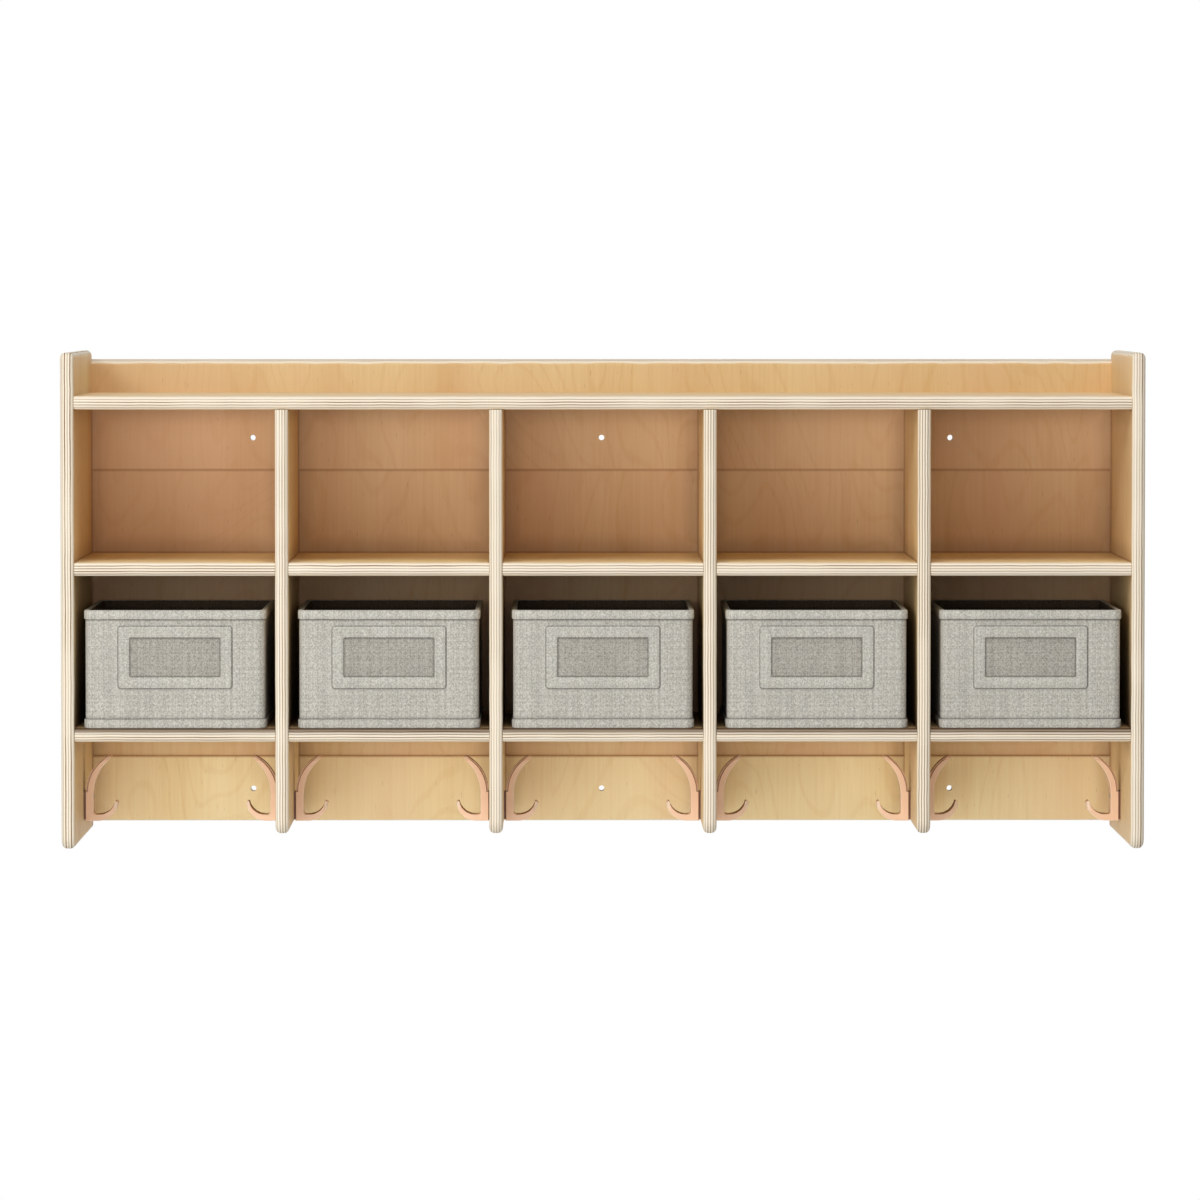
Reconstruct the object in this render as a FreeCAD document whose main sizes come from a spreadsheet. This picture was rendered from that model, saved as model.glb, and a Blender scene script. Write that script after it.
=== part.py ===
"""Wall-mounted coat locker: a plywood case in five sections, with coat hooks and fabric bins.

X runs along the locker, +Y into the wall and +Z up. The origin is the centre of the wall screws on
the back plane, so the back of the case lies on Y = 0 and its front edges at Y = -overall_depth.
Boards are drawn with Z measured from the foot of the side panels and then dropped to the origin.
"""
import FreeCAD, Part
import Sketcher
import math
import os

SECTIONS = 5

DIMENSIONS = {
    # Case
    "overall_width": 1200,
    "overall_depth": 300,
    "panel_height": 550,
    "board": 15,
    "edge_round": 6,
    "corner_round": 14,
    "top_corner_round": 7,
    "gallery_height": 48,
    "bin_cubby_height": 169,
    "coat_bay_height": 119,
    "shelf_setback": 3,
    "shelf_round": 6,
    "divider_lift": 17,
    # Back
    "rail_thickness": 15,
    "panel_thickness": 12,
    "rail_drop": 10,
    "upper_rail_height": 127,
    "lower_rail_height": 74,
    "lower_rail_lift": 10,
    "upper_rail_round": 7,
    "lower_rail_round": 2,
    # Wall screws
    "wall_hole_diameter": 6.5,
    "wall_hole_pitch": 400,
    "wall_hole_drop": 100,
    "wall_hole_lift": 47,
    # Dowels
    "dowel_diameter": 8,
    "dowel_inset": 75,
    "dowel_bevel": 1,
    "shelf_dowel_bite": 12.5,
    "top_dowel_rise": 9,
    "top_dowel_depth": 21,
    "hole_fit": 0.1,
    "hole_end_gap": 0.5,
    # Connecting screws through the side panels
    "connector_bite": 35,
    "connector_head_diameter": 10,
    "connector_head_height": 3,
    "connector_shank_diameter": 7,
    "connector_core_diameter": 5,
    "rail_screw_inset": 25,
    # Screws from the back
    "back_screw_length": 45,
    "back_screw_head_diameter": 8,
    "back_screw_head_height": 2.5,
    "back_screw_diameter": 4,
    "back_screw_inset": 20,
    "panel_screw_inset": 60,
    # Coat hooks
    "hook_width": 24,
    "hook_height": 73.4,
    "hook_reach": 38.8,
    "hook_lift": 21,
    "hook_setback": 150,
    "hook_stem": 11.3,
    "hook_standoff": 2.2,
    "hook_plate_height": 33,
    "hook_ledge": 4.4,
    "hook_seat": 31,
    "hook_tip_reach": 31.8,
    "hook_tip_drop": 2.2,
    "hook_tip_back": 1.8,
    "hook_heel": 16,
    "hook_floor": 7.2,
    "hook_trough_round": 3,
    "hook_trough_flat": 17,
    "hook_toe_height": 23,
    "hook_toe_drop": 2.2,
    "hook_toe_thickness": 3.4,
    "hook_tip_round": 6,
    "hook_end_round": 1.2,
    "hook_edge_round": 0.8,
    "rib_width": 16,
    "rib_proud": 1.8,
    "rib_foot": 1.5,
    "rib_root": 8,
    "hook_screw_bite": 5,
    "hook_screw_diameter": 3.5,
    "hook_screw_head_diameter": 7,
    "hook_screw_head_height": 2.4,
    "hook_screw_spread": 11,
    "hook_screw_height": 27,
    # Fabric bins
    "bin_side_gap": 10,
    "bin_back_gap": 29,
    "bin_head_gap": 38,
    "bin_wall": 3,
    "bin_floor": 3,
    "bin_corner": 9,
    "bin_setback": 6,
    "band_height": 10,
    "band_proud": 1.5,
    "band_fit": 0.2,
    "rim_cap": 1.5,
    "base_board_thickness": 3,
    "base_board_gap": 1,
    "label_width": 125.5,
    "label_height": 68.6,
    "label_border": 12.5,
    "label_proud": 2,
    "label_corner": 3,
    "label_drop": 18,
    "card_thickness": 0.8,
    "card_gap": 0.4,
}

doc = FreeCAD.newDocument("coat_locker")
dims = doc.addObject("Spreadsheet::Sheet", "dims")
for row, (alias, number) in enumerate(DIMENSIONS.items(), start=1):
    dims.set(f"A{row}", alias)
    dims.set(f"B{row}", str(number))
    dims.setAlias(f"B{row}", alias)
doc.recompute()

# Places shared by several boards, as expressions on the sheet
PITCH = f"(dims.overall_width - dims.board) / {SECTIONS}"
BAY = f"({PITCH} - dims.board)"
INSIDE = "(dims.overall_width - 2 * dims.board)"
FRONT = "(-dims.overall_depth)"
FOOT = "(-(dims.panel_height - dims.wall_hole_drop + dims.wall_hole_lift) / 2)"
TOP_SHELF = "(dims.panel_height - dims.gallery_height - dims.board)"
LOWER_SHELF = "dims.coat_bay_height"
MIDDLE_SHELF = f"({LOWER_SHELF} + dims.board + dims.bin_cubby_height)"
RAIL_TOP = "(dims.panel_height - dims.rail_drop)"
UPPER_SEAM = f"({RAIL_TOP} - dims.upper_rail_height)"
LOWER_SEAM = "(dims.lower_rail_lift + dims.lower_rail_height)"
DOWEL_ROWS = ["-dims.dowel_inset", "-(dims.overall_depth - dims.dowel_inset)"]
BACK_SCREW_HEIGHTS = [
    f"{UPPER_SEAM} + dims.back_screw_inset",
    f"{TOP_SHELF} - dims.back_screw_inset",
    f"{UPPER_SEAM} - dims.panel_screw_inset",
    f"{LOWER_SEAM} + dims.panel_screw_inset",
    "dims.lower_rail_lift + dims.lower_rail_height / 2",
]
RAIL_SCREW_HEIGHTS = [
    f"{UPPER_SEAM} + dims.rail_screw_inset",
    f"{RAIL_TOP} - dims.rail_screw_inset",
    f"{LOWER_SEAM} - dims.rail_screw_inset",
    "dims.lower_rail_lift + dims.rail_screw_inset",
]
HOOK_SCREW_ROWS = [
    "-dims.hook_setback - dims.hook_screw_spread / 2",
    "-dims.hook_setback + dims.hook_screw_spread / 2",
]
HOOK_SCREW_LEVEL = "dims.hook_lift + dims.hook_screw_height"

nodes = []


def upright_x(number):
    """Centre of an upright; 0 is the left side panel, SECTIONS the right one."""
    return f"-(dims.overall_width - dims.board) / 2 + {number} * {PITCH}"


def bay_x(section):
    """Centre of a section, numbered from 1 at the left."""
    return f"-(dims.overall_width - dims.board) / 2 + {section - 0.5} * {PITCH}"


def value(expression):
    """A length in millimetres, worked out from an expression on the sheet."""
    return float(dims.evalExpression(expression))


def bind(thing, **expressions):
    """Tie properties of a document object to expressions on the sheet."""
    for name, expression in expressions.items():
        thing.setExpression(name, expression)


def place(thing, x="0", y="0", z="0"):
    """Tie an object's position to expressions on the sheet."""
    for axis, expression in (("x", x), ("y", y), ("z", z)):
        thing.setExpression(f"Placement.Base.{axis}", expression)


def node(thing, label):
    """Name a finished piece, which is written out under that name."""
    thing.Label = label
    nodes.append(thing)
    return thing


def new_body(name):
    return doc.addObject("PartDesign::Body", name)


def new_sketch(body, role, offset="0"):
    """A sketch on one of the body's own origin planes, moved along the plane's normal."""
    sketch = body.newObject("Sketcher::SketchObject", f"{body.Name}_sketch")
    plane = next(item for item in body.Origin.OriginFeatures if item.Role == role)
    sketch.AttachmentSupport = (plane, [""])
    sketch.MapMode = "FlatFace"
    sketch.setExpression("AttachmentOffset.Base.z", offset)
    return sketch


def pin(sketch, geometry, point, x=None, y=None):
    """Tie a sketch point to its distances from the sketch's origin."""
    for kind, axis, expression in (("DistanceX", -2, x), ("DistanceY", -1, y)):
        if expression is None:
            continue
        distance = value(expression)
        if abs(distance) < 1e-9:
            sketch.addConstraint(Sketcher.Constraint("PointOnObject", geometry, point, axis))
            continue
        index = sketch.addConstraint(Sketcher.Constraint(kind, -1, 1, geometry, point, distance))
        sketch.setExpression(f"Constraints[{index}]", expression)


def arc_between(start, end, centre_x, clockwise):
    """An arc from start to end whose centre has the given x."""
    across = (end[0] - centre_x) ** 2 - (start[0] - centre_x) ** 2
    centre_y = (across + end[1] ** 2 - start[1] ** 2) / (2 * (end[1] - start[1]))
    centre = FreeCAD.Vector(centre_x, centre_y, 0)
    circle = Part.Circle(centre, FreeCAD.Vector(0, 0, 1), math.dist(start, (centre_x, centre_y)))
    angles = [math.atan2(point[1] - centre_y, point[0] - centre_x) for point in (start, end)]
    if clockwise:
        angles.reverse()
    return Part.ArcOfCircle(circle, *angles)


def outline(sketch, corners, arcs=None):
    """A closed outline through corners given as pairs of expressions.

    arcs maps the number of a corner to (x of the centre, clockwise) where the stretch that starts
    there is round; the other stretches are straight.
    """
    arcs = arcs or {}
    points = [(value(x), value(y)) for x, y in corners]
    ends = []
    for number, start in enumerate(points):
        end = points[(number + 1) % len(points)]
        clockwise = False
        if number in arcs:
            centre_x, clockwise = arcs[number]
            geometry = sketch.addGeometry(arc_between(start, end, value(centre_x), clockwise))
        else:
            line = Part.LineSegment(FreeCAD.Vector(*start, 0), FreeCAD.Vector(*end, 0))
            geometry = sketch.addGeometry(line)
        ends.append((geometry, 2, 1) if clockwise else (geometry, 1, 2))
    for number, (geometry, first, last) in enumerate(ends):
        following, following_first, _ = ends[(number + 1) % len(ends)]
        sketch.addConstraint(Sketcher.Constraint("Coincident", geometry, last, following, following_first))
        pin(sketch, geometry, first, *corners[number])
        if number in arcs:
            pin(sketch, geometry, 3, x=arcs[number][0])


def rectangle(sketch, left, right, low, high):
    outline(sketch, [(left, low), (right, low), (right, high), (left, high)])


def rounded_rectangle(sketch, left, right, low, high, radius):
    """A rectangle with four equal round corners."""
    inner_left, inner_right = f"{left} + {radius}", f"{right} - ({radius})"
    inner_low, inner_high = f"{low} + {radius}", f"{high} - ({radius})"
    corners = [
        (inner_left, low), (inner_right, low), (right, inner_low), (right, inner_high),
        (inner_right, high), (inner_left, high), (left, inner_high), (left, inner_low),
    ]
    arcs = {1: (inner_right, False), 3: (inner_right, False), 5: (inner_left, False), 7: (inner_left, False)}
    outline(sketch, corners, arcs)


def circles(sketch, centres, radius):
    """Equal circles at centres given as pairs of expressions."""
    for x, y in centres:
        centre = FreeCAD.Vector(value(x), value(y), 0)
        circle = Part.Circle(centre, FreeCAD.Vector(0, 0, 1), value(radius))
        geometry = sketch.addGeometry(circle)
        pin(sketch, geometry, 3, x, y)
        index = sketch.addConstraint(Sketcher.Constraint("Radius", geometry, value(radius)))
        sketch.setExpression(f"Constraints[{index}]", radius)


def pad(body, sketch, length, midplane=False):
    feature = body.newObject("PartDesign::Pad", f"{body.Name}_pad")
    feature.Profile = sketch
    feature.Midplane = midplane
    bind(feature, Length=length)
    doc.recompute()
    return feature


def pocket(body, sketch, depth, along_normal=False):
    """Cut a sketch into the body, against its plane's normal or along it."""
    before = body.Shape.Volume
    feature = body.newObject("PartDesign::Pocket", f"{body.Name}_pocket")
    feature.Profile = sketch
    feature.Reversed = along_normal
    bind(feature, Length=depth)
    doc.recompute()
    if body.Shape.Volume > before - 1e-3:
        raise RuntimeError(f"{feature.Name} cuts nothing")
    return feature


def drill(body, role, offset, centres, diameter, depth, along_normal=False):
    """Holes a little wider than what they hold."""
    sketch = new_sketch(body, role, offset)
    circles(sketch, centres, f"{diameter} / 2 + dims.hole_fit")
    return pocket(body, sketch, depth, along_normal)


def round_edges(body, keep, radius):
    """Round the edges whose bounding box the test keeps."""
    base = body.Tip
    names = [
        f"Edge{number}" for number, edge in enumerate(base.Shape.Edges, start=1)
        if keep(edge.BoundBox)
    ]
    feature = body.newObject("PartDesign::Fillet", f"{body.Name}_round")
    feature.Base = (base, names)
    bind(feature, Radius=radius)
    doc.recompute()
    return feature


def copies(master, label, places):
    """One node that groups copies of a master solid; each place is (x, y, z, turn about Z)."""
    group = []
    for x, y, z, turn in places:
        copy = doc.addObject("Part::Compound", f"{label}_copy")
        copy.Links = [master]
        copy.Placement.Rotation = FreeCAD.Rotation(FreeCAD.Vector(0, 0, 1), turn)
        place(copy, x, y, z)
        group.append(copy)
    compound = doc.addObject("Part::Compound", label)
    compound.Links = group
    return node(compound, label)


def same(first, second):
    return abs(first - second) < 1e-4


# Uprights
def drill_hook_holes(body, offset, along_normal):
    """Pilot holes for one hook, in the upright's face at the given offset."""
    centres = [(row, HOOK_SCREW_LEVEL) for row in HOOK_SCREW_ROWS]
    depth = "dims.hook_screw_bite + dims.hole_end_gap"
    drill(body, "YZ_Plane", offset, centres, "dims.hook_screw_diameter", depth, along_normal)


def side_screw_places():
    """Depth and height of each connecting screw in a side panel."""
    shelf_rows = [
        (row, f"{level} + dims.board / 2")
        for level in (TOP_SHELF, MIDDLE_SHELF, LOWER_SHELF)
        for row in DOWEL_ROWS
    ]
    return shelf_rows + [("-dims.rail_thickness / 2", height) for height in RAIL_SCREW_HEIGHTS]


def make_side_panel(label, number, outside):
    """A full side panel; outside is +1 or -1, the way that its outer face looks along X."""
    body = new_body(label)
    sketch = new_sketch(body, "YZ_Plane")
    near_front = f"{FRONT} + dims.corner_round"
    top_front, top_back = f"{FRONT} + dims.top_corner_round", "-dims.top_corner_round"
    under_top = "dims.panel_height - dims.top_corner_round"
    corners = [
        ("0", "0"), (near_front, "0"), (FRONT, "dims.corner_round"), (FRONT, under_top),
        (top_front, "dims.panel_height"), (top_back, "dims.panel_height"), ("0", under_top),
    ]
    arcs = {1: (near_front, True), 3: (top_front, True), 5: (top_back, True)}
    outline(sketch, corners, arcs)
    pad(body, sketch, "dims.board", midplane=True)
    round_edges(body, lambda box: same(box.XMin, box.XMax) and not same(box.YMin, 0), "dims.edge_round")
    centres = side_screw_places()
    outer_face = f"{outside} * dims.board / 2"
    inner_face = f"{-outside} * dims.board / 2"
    from_outside = outside < 0
    drill(body, "YZ_Plane", outer_face, centres, "dims.connector_shank_diameter", "dims.board", from_outside)
    drill(
        body, "YZ_Plane", outer_face, centres,
        "dims.connector_head_diameter", "dims.connector_head_height", from_outside,
    )
    drill_hook_holes(body, inner_face, not from_outside)
    place(body, upright_x(number), "0", FOOT)
    return node(body, label)


def make_divider(label, number):
    """A divider, stepped at the back so that it seats on both rails and on the back panel."""
    body = new_body(label)
    sketch = new_sketch(body, "YZ_Plane")
    near_front = f"{FRONT} + dims.corner_round"
    at_rail, at_panel = "-dims.rail_thickness", "-dims.panel_thickness"
    corners = [
        (at_rail, "dims.divider_lift"), (near_front, "dims.divider_lift"),
        (FRONT, "dims.divider_lift + dims.corner_round"), (FRONT, TOP_SHELF),
        (at_rail, TOP_SHELF), (at_rail, UPPER_SEAM), (at_panel, UPPER_SEAM),
        (at_panel, LOWER_SEAM), (at_rail, LOWER_SEAM),
    ]
    outline(sketch, corners, {1: (near_front, True)})
    pad(body, sketch, "dims.board", midplane=True)
    front, corner_top = value(FRONT), value("dims.divider_lift + dims.corner_round")
    round_edges(
        body,
        lambda box: same(box.XMin, box.XMax)
        and (same(box.YMax, front) or same(box.ZMax, corner_top) or box.ZMax < corner_top),
        "dims.edge_round",
    )
    face = "dims.board / 2"
    levels = [f"{level} + dims.board / 2" for level in (MIDDLE_SHELF, LOWER_SHELF)]
    through = [(row, level) for row in DOWEL_ROWS for level in levels]
    drill(body, "YZ_Plane", face, through, "dims.dowel_diameter", "dims.board")
    drill_hook_holes(body, face, False)
    drill_hook_holes(body, f"-{face}", True)
    top_holes = [("0", row) for row in DOWEL_ROWS]
    drill(
        body, "XY_Plane", TOP_SHELF, top_holes,
        "dims.dowel_diameter", "dims.top_dowel_depth + dims.hole_end_gap",
    )
    back_holes = [("0", height) for height in BACK_SCREW_HEIGHTS]
    drill(
        body, "XZ_Plane", "0", back_holes,
        "dims.back_screw_diameter", "dims.back_screw_length + dims.hole_end_gap", True,
    )
    place(body, upright_x(number), "0", FOOT)
    return node(body, label)


# Shelves
def shelf_blank(label, length, back):
    """A shelf with a rounded front edge, its underside on local Z = 0."""
    body = new_body(label)
    sketch = new_sketch(body, "XY_Plane")
    front = f"{FRONT} + dims.shelf_setback"
    rectangle(sketch, f"-{length} / 2", f"{length} / 2", front, f"-{back}")
    pad(body, sketch, "dims.board")
    front_y = value(front)
    round_edges(body, lambda box: same(box.YMax, front_y) and same(box.ZMin, box.ZMax), "dims.shelf_round")
    return body


def drill_shelf_end(body, length, side, screwed):
    """Two holes in one end; side is +1 or -1. An end on a side panel takes screws, others dowels."""
    centres = [(row, "dims.board / 2") for row in DOWEL_ROWS]
    diameter = "dims.connector_core_diameter" if screwed else "dims.dowel_diameter"
    bite = "dims.connector_bite" if screwed else "dims.shelf_dowel_bite"
    drill(
        body, "YZ_Plane", f"{side} * {length} / 2", centres,
        diameter, f"{bite} + dims.hole_end_gap", side < 0,
    )


def make_section_shelf(label, section, level):
    body = shelf_blank(label, BAY, "dims.panel_thickness")
    drill_shelf_end(body, BAY, -1, section == 1)
    drill_shelf_end(body, BAY, 1, section == SECTIONS)
    place(body, bay_x(section), "0", f"{FOOT} + {level}")
    return node(body, label)


def make_top_shelf(label):
    """The long shelf over the dividers, held by the side panels and by the upper rail."""
    body = shelf_blank(label, INSIDE, "dims.rail_thickness")
    for side in (-1, 1):
        drill_shelf_end(body, INSIDE, side, True)
    dowel_holes = [(upright_x(number), row) for number in range(1, SECTIONS) for row in DOWEL_ROWS]
    drill(
        body, "XY_Plane", "0", dowel_holes,
        "dims.dowel_diameter", "dims.top_dowel_rise + dims.hole_end_gap", True,
    )
    screw_holes = [(bay_x(section), "dims.board / 2") for section in range(1, SECTIONS + 1)]
    drill(
        body, "XZ_Plane", "0", screw_holes,
        "dims.back_screw_diameter", "dims.back_screw_length + dims.hole_end_gap", True,
    )
    place(body, "0", "0", f"{FOOT} + {TOP_SHELF}")
    return node(body, label)


# Back
def back_board(label, low, high, thickness):
    body = new_body(label)
    sketch = new_sketch(body, "XZ_Plane")
    rectangle(sketch, f"-{INSIDE} / 2", f"{INSIDE} / 2", low, high)
    pad(body, sketch, thickness)
    place(body, "0", "0", FOOT)
    return node(body, label)


def drill_back_screws(body, heights, thickness, extra=()):
    """Clearance holes on the dividers, with room for each screw's head at the back."""
    centres = [(upright_x(number), height) for number in range(1, SECTIONS) for height in heights]
    centres += extra
    drill(body, "XZ_Plane", "0", centres, "dims.back_screw_diameter", thickness, True)
    drill(
        body, "XZ_Plane", "0", centres,
        "dims.back_screw_head_diameter", "dims.back_screw_head_height", True,
    )


def finish_rail(body, round_level, radius, wall_level, end_heights):
    """A rounded front edge, three wall-screw holes and the holes in both ends of a rail."""
    front, level = -value("dims.rail_thickness"), value(round_level)
    round_edges(
        body,
        lambda box: same(box.YMin, front) and same(box.YMax, front)
        and same(box.ZMin, level) and same(box.ZMax, level),
        radius,
    )
    wall_holes = [(f"{place_number} * dims.wall_hole_pitch", wall_level) for place_number in (-1, 0, 1)]
    sketch = new_sketch(body, "XZ_Plane")
    circles(sketch, wall_holes, "dims.wall_hole_diameter / 2")
    pocket(body, sketch, "dims.rail_thickness", along_normal=True)
    centres = [("-dims.rail_thickness / 2", height) for height in end_heights]
    depth = "dims.connector_bite + dims.hole_end_gap"
    for side in (-1, 1):
        offset = f"{side} * {INSIDE} / 2"
        drill(body, "YZ_Plane", offset, centres, "dims.connector_core_diameter", depth, side < 0)


def make_back():
    upper = back_board("upper_back_rail", UPPER_SEAM, RAIL_TOP, "dims.rail_thickness")
    upper_holes = "dims.panel_height - dims.wall_hole_drop"
    finish_rail(upper, RAIL_TOP, "dims.upper_rail_round", upper_holes, RAIL_SCREW_HEIGHTS[:2])
    shelf_screws = [
        (bay_x(section), f"{TOP_SHELF} + dims.board / 2") for section in range(1, SECTIONS + 1)
    ]
    drill_back_screws(upper, BACK_SCREW_HEIGHTS[:2], "dims.rail_thickness", shelf_screws)
    panel = back_board("back_panel", LOWER_SEAM, UPPER_SEAM, "dims.panel_thickness")
    drill_back_screws(panel, BACK_SCREW_HEIGHTS[2:4], "dims.panel_thickness")
    lower = back_board("lower_back_rail", "dims.lower_rail_lift", LOWER_SEAM, "dims.rail_thickness")
    lower_holes = "dims.wall_hole_lift"
    finish_rail(lower, "dims.lower_rail_lift", "dims.lower_rail_round", lower_holes, RAIL_SCREW_HEIGHTS[2:])
    drill_back_screws(lower, BACK_SCREW_HEIGHTS[4:], "dims.rail_thickness")


# Coat hooks
def make_hook():
    """A moulded double hook: flanged prongs with a narrower rib along the side next to the upright.

    Local X is the distance from the upright's face, Z the height above the hook's foot. Each prong
    starts square to the stem and bends away from it on one arc.
    """
    body = new_body("hook_master")
    flange = new_sketch(body, "XZ_Plane")
    tip_inner = ("dims.hook_tip_reach", "dims.hook_height - dims.hook_tip_drop")
    tip_outer = ("dims.hook_tip_reach - dims.hook_tip_back", "dims.hook_height")
    toe_outer = ("dims.hook_reach", "dims.hook_toe_height - dims.hook_toe_drop")
    toe_inner = ("dims.hook_reach - dims.hook_toe_thickness", "dims.hook_toe_height")
    trough_x = "dims.hook_stem + dims.hook_trough_round"
    corners = [
        ("dims.hook_standoff", "0"), ("dims.hook_heel", "0"), toe_outer, toe_inner,
        ("dims.hook_trough_flat", "dims.hook_floor"), (trough_x, "dims.hook_floor"),
        ("dims.hook_stem", "dims.hook_floor + dims.hook_trough_round"), ("dims.hook_stem", "dims.hook_seat"),
        tip_inner, tip_outer, ("dims.hook_ledge", "dims.hook_plate_height"),
        ("dims.hook_standoff", "dims.hook_plate_height"),
    ]
    tip_x = f"({tip_inner[0]} + {tip_outer[0]}) / 2"
    arcs = {
        1: ("dims.hook_heel", False),
        3: ("dims.hook_trough_flat", True),
        5: (trough_x, True),
        7: (upright_arc_x("dims.hook_stem", "dims.hook_seat", tip_inner), True),
        9: (upright_arc_x("dims.hook_ledge", "dims.hook_plate_height", tip_outer), False),
    }
    outline(flange, corners, arcs)
    pad(body, flange, "dims.hook_width", midplane=True)
    ends = [(value(x), value(z)) for x, z in (tip_inner, tip_outer, toe_inner, toe_outer)]
    round_edges(
        body,
        lambda box: any(same(box.XMax, x) and same(box.ZMax, z) and same(box.ZMin, z) for x, z in ends),
        "dims.hook_end_round",
    )
    side = value("dims.hook_width") / 2
    round_edges(
        body, lambda box: same(box.YMin, box.YMax) and same(abs(box.YMin), side),
        "dims.hook_edge_round",
    )
    rib = new_sketch(body, "XZ_Plane")
    rib_ledge = "dims.hook_ledge - dims.rib_proud"
    rib_tip = (f"{tip_outer[0]} - dims.rib_proud", tip_outer[1])
    rib_inner = (tip_x, "dims.hook_height - dims.hook_tip_drop / 2")
    rib_corners = [
        ("0", "dims.rib_foot"), ("dims.rib_root", "dims.rib_foot"),
        ("dims.rib_root", "dims.hook_plate_height"),
        rib_inner, rib_tip, (rib_ledge, "dims.hook_plate_height"), ("0", "dims.hook_plate_height"),
    ]
    rib_arcs = {
        2: (upright_arc_x("dims.rib_root", "dims.hook_plate_height", rib_inner), True),
        4: (upright_arc_x(rib_ledge, "dims.hook_plate_height", rib_tip), False),
    }
    outline(rib, rib_corners, rib_arcs)
    pad(body, rib, "dims.rib_width", midplane=True)
    trim_hook_corners(body, "XY_Plane", "dims.hook_reach", False)
    trim_hook_corners(body, "YZ_Plane", "dims.hook_height", True)
    centres = [
        (f"{row} + dims.hook_setback", "dims.hook_screw_height") for row in HOOK_SCREW_ROWS
    ]
    drill(body, "YZ_Plane", "dims.hook_stem", centres, "dims.hook_screw_diameter", "dims.hook_stem")
    drill(
        body, "YZ_Plane", "dims.hook_stem", centres,
        "dims.hook_screw_head_diameter", "dims.hook_screw_head_height",
    )
    return body


def trim_hook_corners(body, role, end, upward):
    """Round both corners of a prong's free end, seen from above or from the front.

    end is how far the prong reaches, along the sketch's second axis if upward and else its first.
    """
    depth = "2 * dims.hook_height"
    radius, side = "dims.hook_tip_round", "dims.hook_width / 2"
    beyond = f"{end} + {radius}"
    for sign in ("", "-"):
        corners = [
            (f"{end} - {radius}", f"{sign}({side})"), (end, f"{sign}({side} - {radius})"),
            (beyond, f"{sign}({side} - {radius})"), (beyond, f"{sign}({side} + {radius})"),
            (f"{end} - {radius}", f"{sign}({side} + {radius})"),
        ]
        clockwise = sign == ""
        if upward:
            corners = [(across, along) for along, across in corners]
            clockwise = not clockwise
        centre_x = f"{sign}({side} - {radius})" if upward else f"{end} - {radius}"
        sketch = new_sketch(body, role, f"-{depth} / 2")
        outline(sketch, corners, {0: (centre_x, clockwise)})
        pocket(body, sketch, depth, along_normal=True)


def upright_arc_x(start_x, start_y, end):
    """Centre x of an arc that leaves (start_x, start_y) straight up and ends at a point."""
    across, rise = f"({end[0]} - ({start_x}))", f"({end[1]} - ({start_y}))"
    return f"{start_x} + ({across} ^ 2 + {rise} ^ 2) / (2 * {across})"


def hook_places():
    """Side, section and place of every hook: one on each upright face that looks into a section."""
    places = []
    for section in range(1, SECTIONS + 1):
        left_face = f"{bay_x(section)} - {BAY} / 2"
        right_face = f"{bay_x(section)} + {BAY} / 2"
        places.append((f"coat_hook_{section}_left", left_face, 0))
        places.append((f"coat_hook_{section}_right", right_face, 180))
    return places


# Bins: each fills its section but for the named gaps round its bands
BIN_WIDTH = f"({BAY} - 2 * (dims.bin_side_gap + dims.band_proud))"
BIN_DEPTH = (
    "(dims.overall_depth - dims.panel_thickness - dims.bin_back_gap"
    " - dims.bin_setback - 2 * dims.band_proud)"
)
BIN_HEIGHT = "(dims.bin_cubby_height - dims.bin_head_gap)"
BIN_FLOOR = "dims.bin_floor"
WALL_TOP = f"({BIN_HEIGHT} - dims.rim_cap)"


def bin_outline(sketch, grow):
    """The bin's plan, its front wall on local Y = 0, made larger all round by grow."""
    rounded_rectangle(
        sketch, f"-({BIN_WIDTH} / 2 + {grow})", f"{BIN_WIDTH} / 2 + {grow}",
        f"-({grow})", f"{BIN_DEPTH} + {grow}", f"(dims.bin_corner + {grow})",
    )


def make_bin_shell():
    """Stiffened fabric walls and floor, with the bottom band folded round them."""
    body = new_body("bin_shell_master")
    walls = new_sketch(body, "XY_Plane")
    bin_outline(walls, "0")
    pad(body, walls, WALL_TOP)
    band = new_sketch(body, "XY_Plane")
    bin_outline(band, "dims.band_proud")
    pad(body, band, "dims.band_height")
    inside = new_sketch(body, "XY_Plane", WALL_TOP)
    bin_outline(inside, "(-dims.bin_wall)")
    pocket(body, inside, f"{WALL_TOP} - {BIN_FLOOR}")
    return body


def make_rim_band():
    """The binding that is folded over the walls' top edge."""
    body = new_body("rim_band_master")
    foot = f"{BIN_HEIGHT} - dims.band_height"
    outside = new_sketch(body, "XY_Plane", foot)
    bin_outline(outside, "dims.band_proud")
    bin_outline(outside, "(-dims.bin_wall - dims.band_proud)")
    pad(body, outside, "dims.band_height")
    groove = new_sketch(body, "XY_Plane", foot)
    bin_outline(groove, "dims.band_fit")
    bin_outline(groove, "(-dims.bin_wall - dims.band_fit)")
    pocket(body, groove, "dims.band_height - dims.rim_cap", along_normal=True)
    return body


def make_base_board():
    body = new_body("base_board_master")
    sketch = new_sketch(body, "XY_Plane", BIN_FLOOR)
    bin_outline(sketch, "(-dims.bin_wall - dims.base_board_gap)")
    pad(body, sketch, "dims.base_board_thickness")
    return body


def label_outline(sketch, inset, corner):
    """The label's outline on the bin's front, drawn in by inset."""
    top = f"{BIN_HEIGHT} - dims.label_drop - {inset}"
    rounded_rectangle(
        sketch, f"-(dims.label_width / 2 - ({inset}))", f"dims.label_width / 2 - ({inset})",
        f"{BIN_HEIGHT} - dims.label_drop - dims.label_height + {inset}", top, corner,
    )


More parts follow.
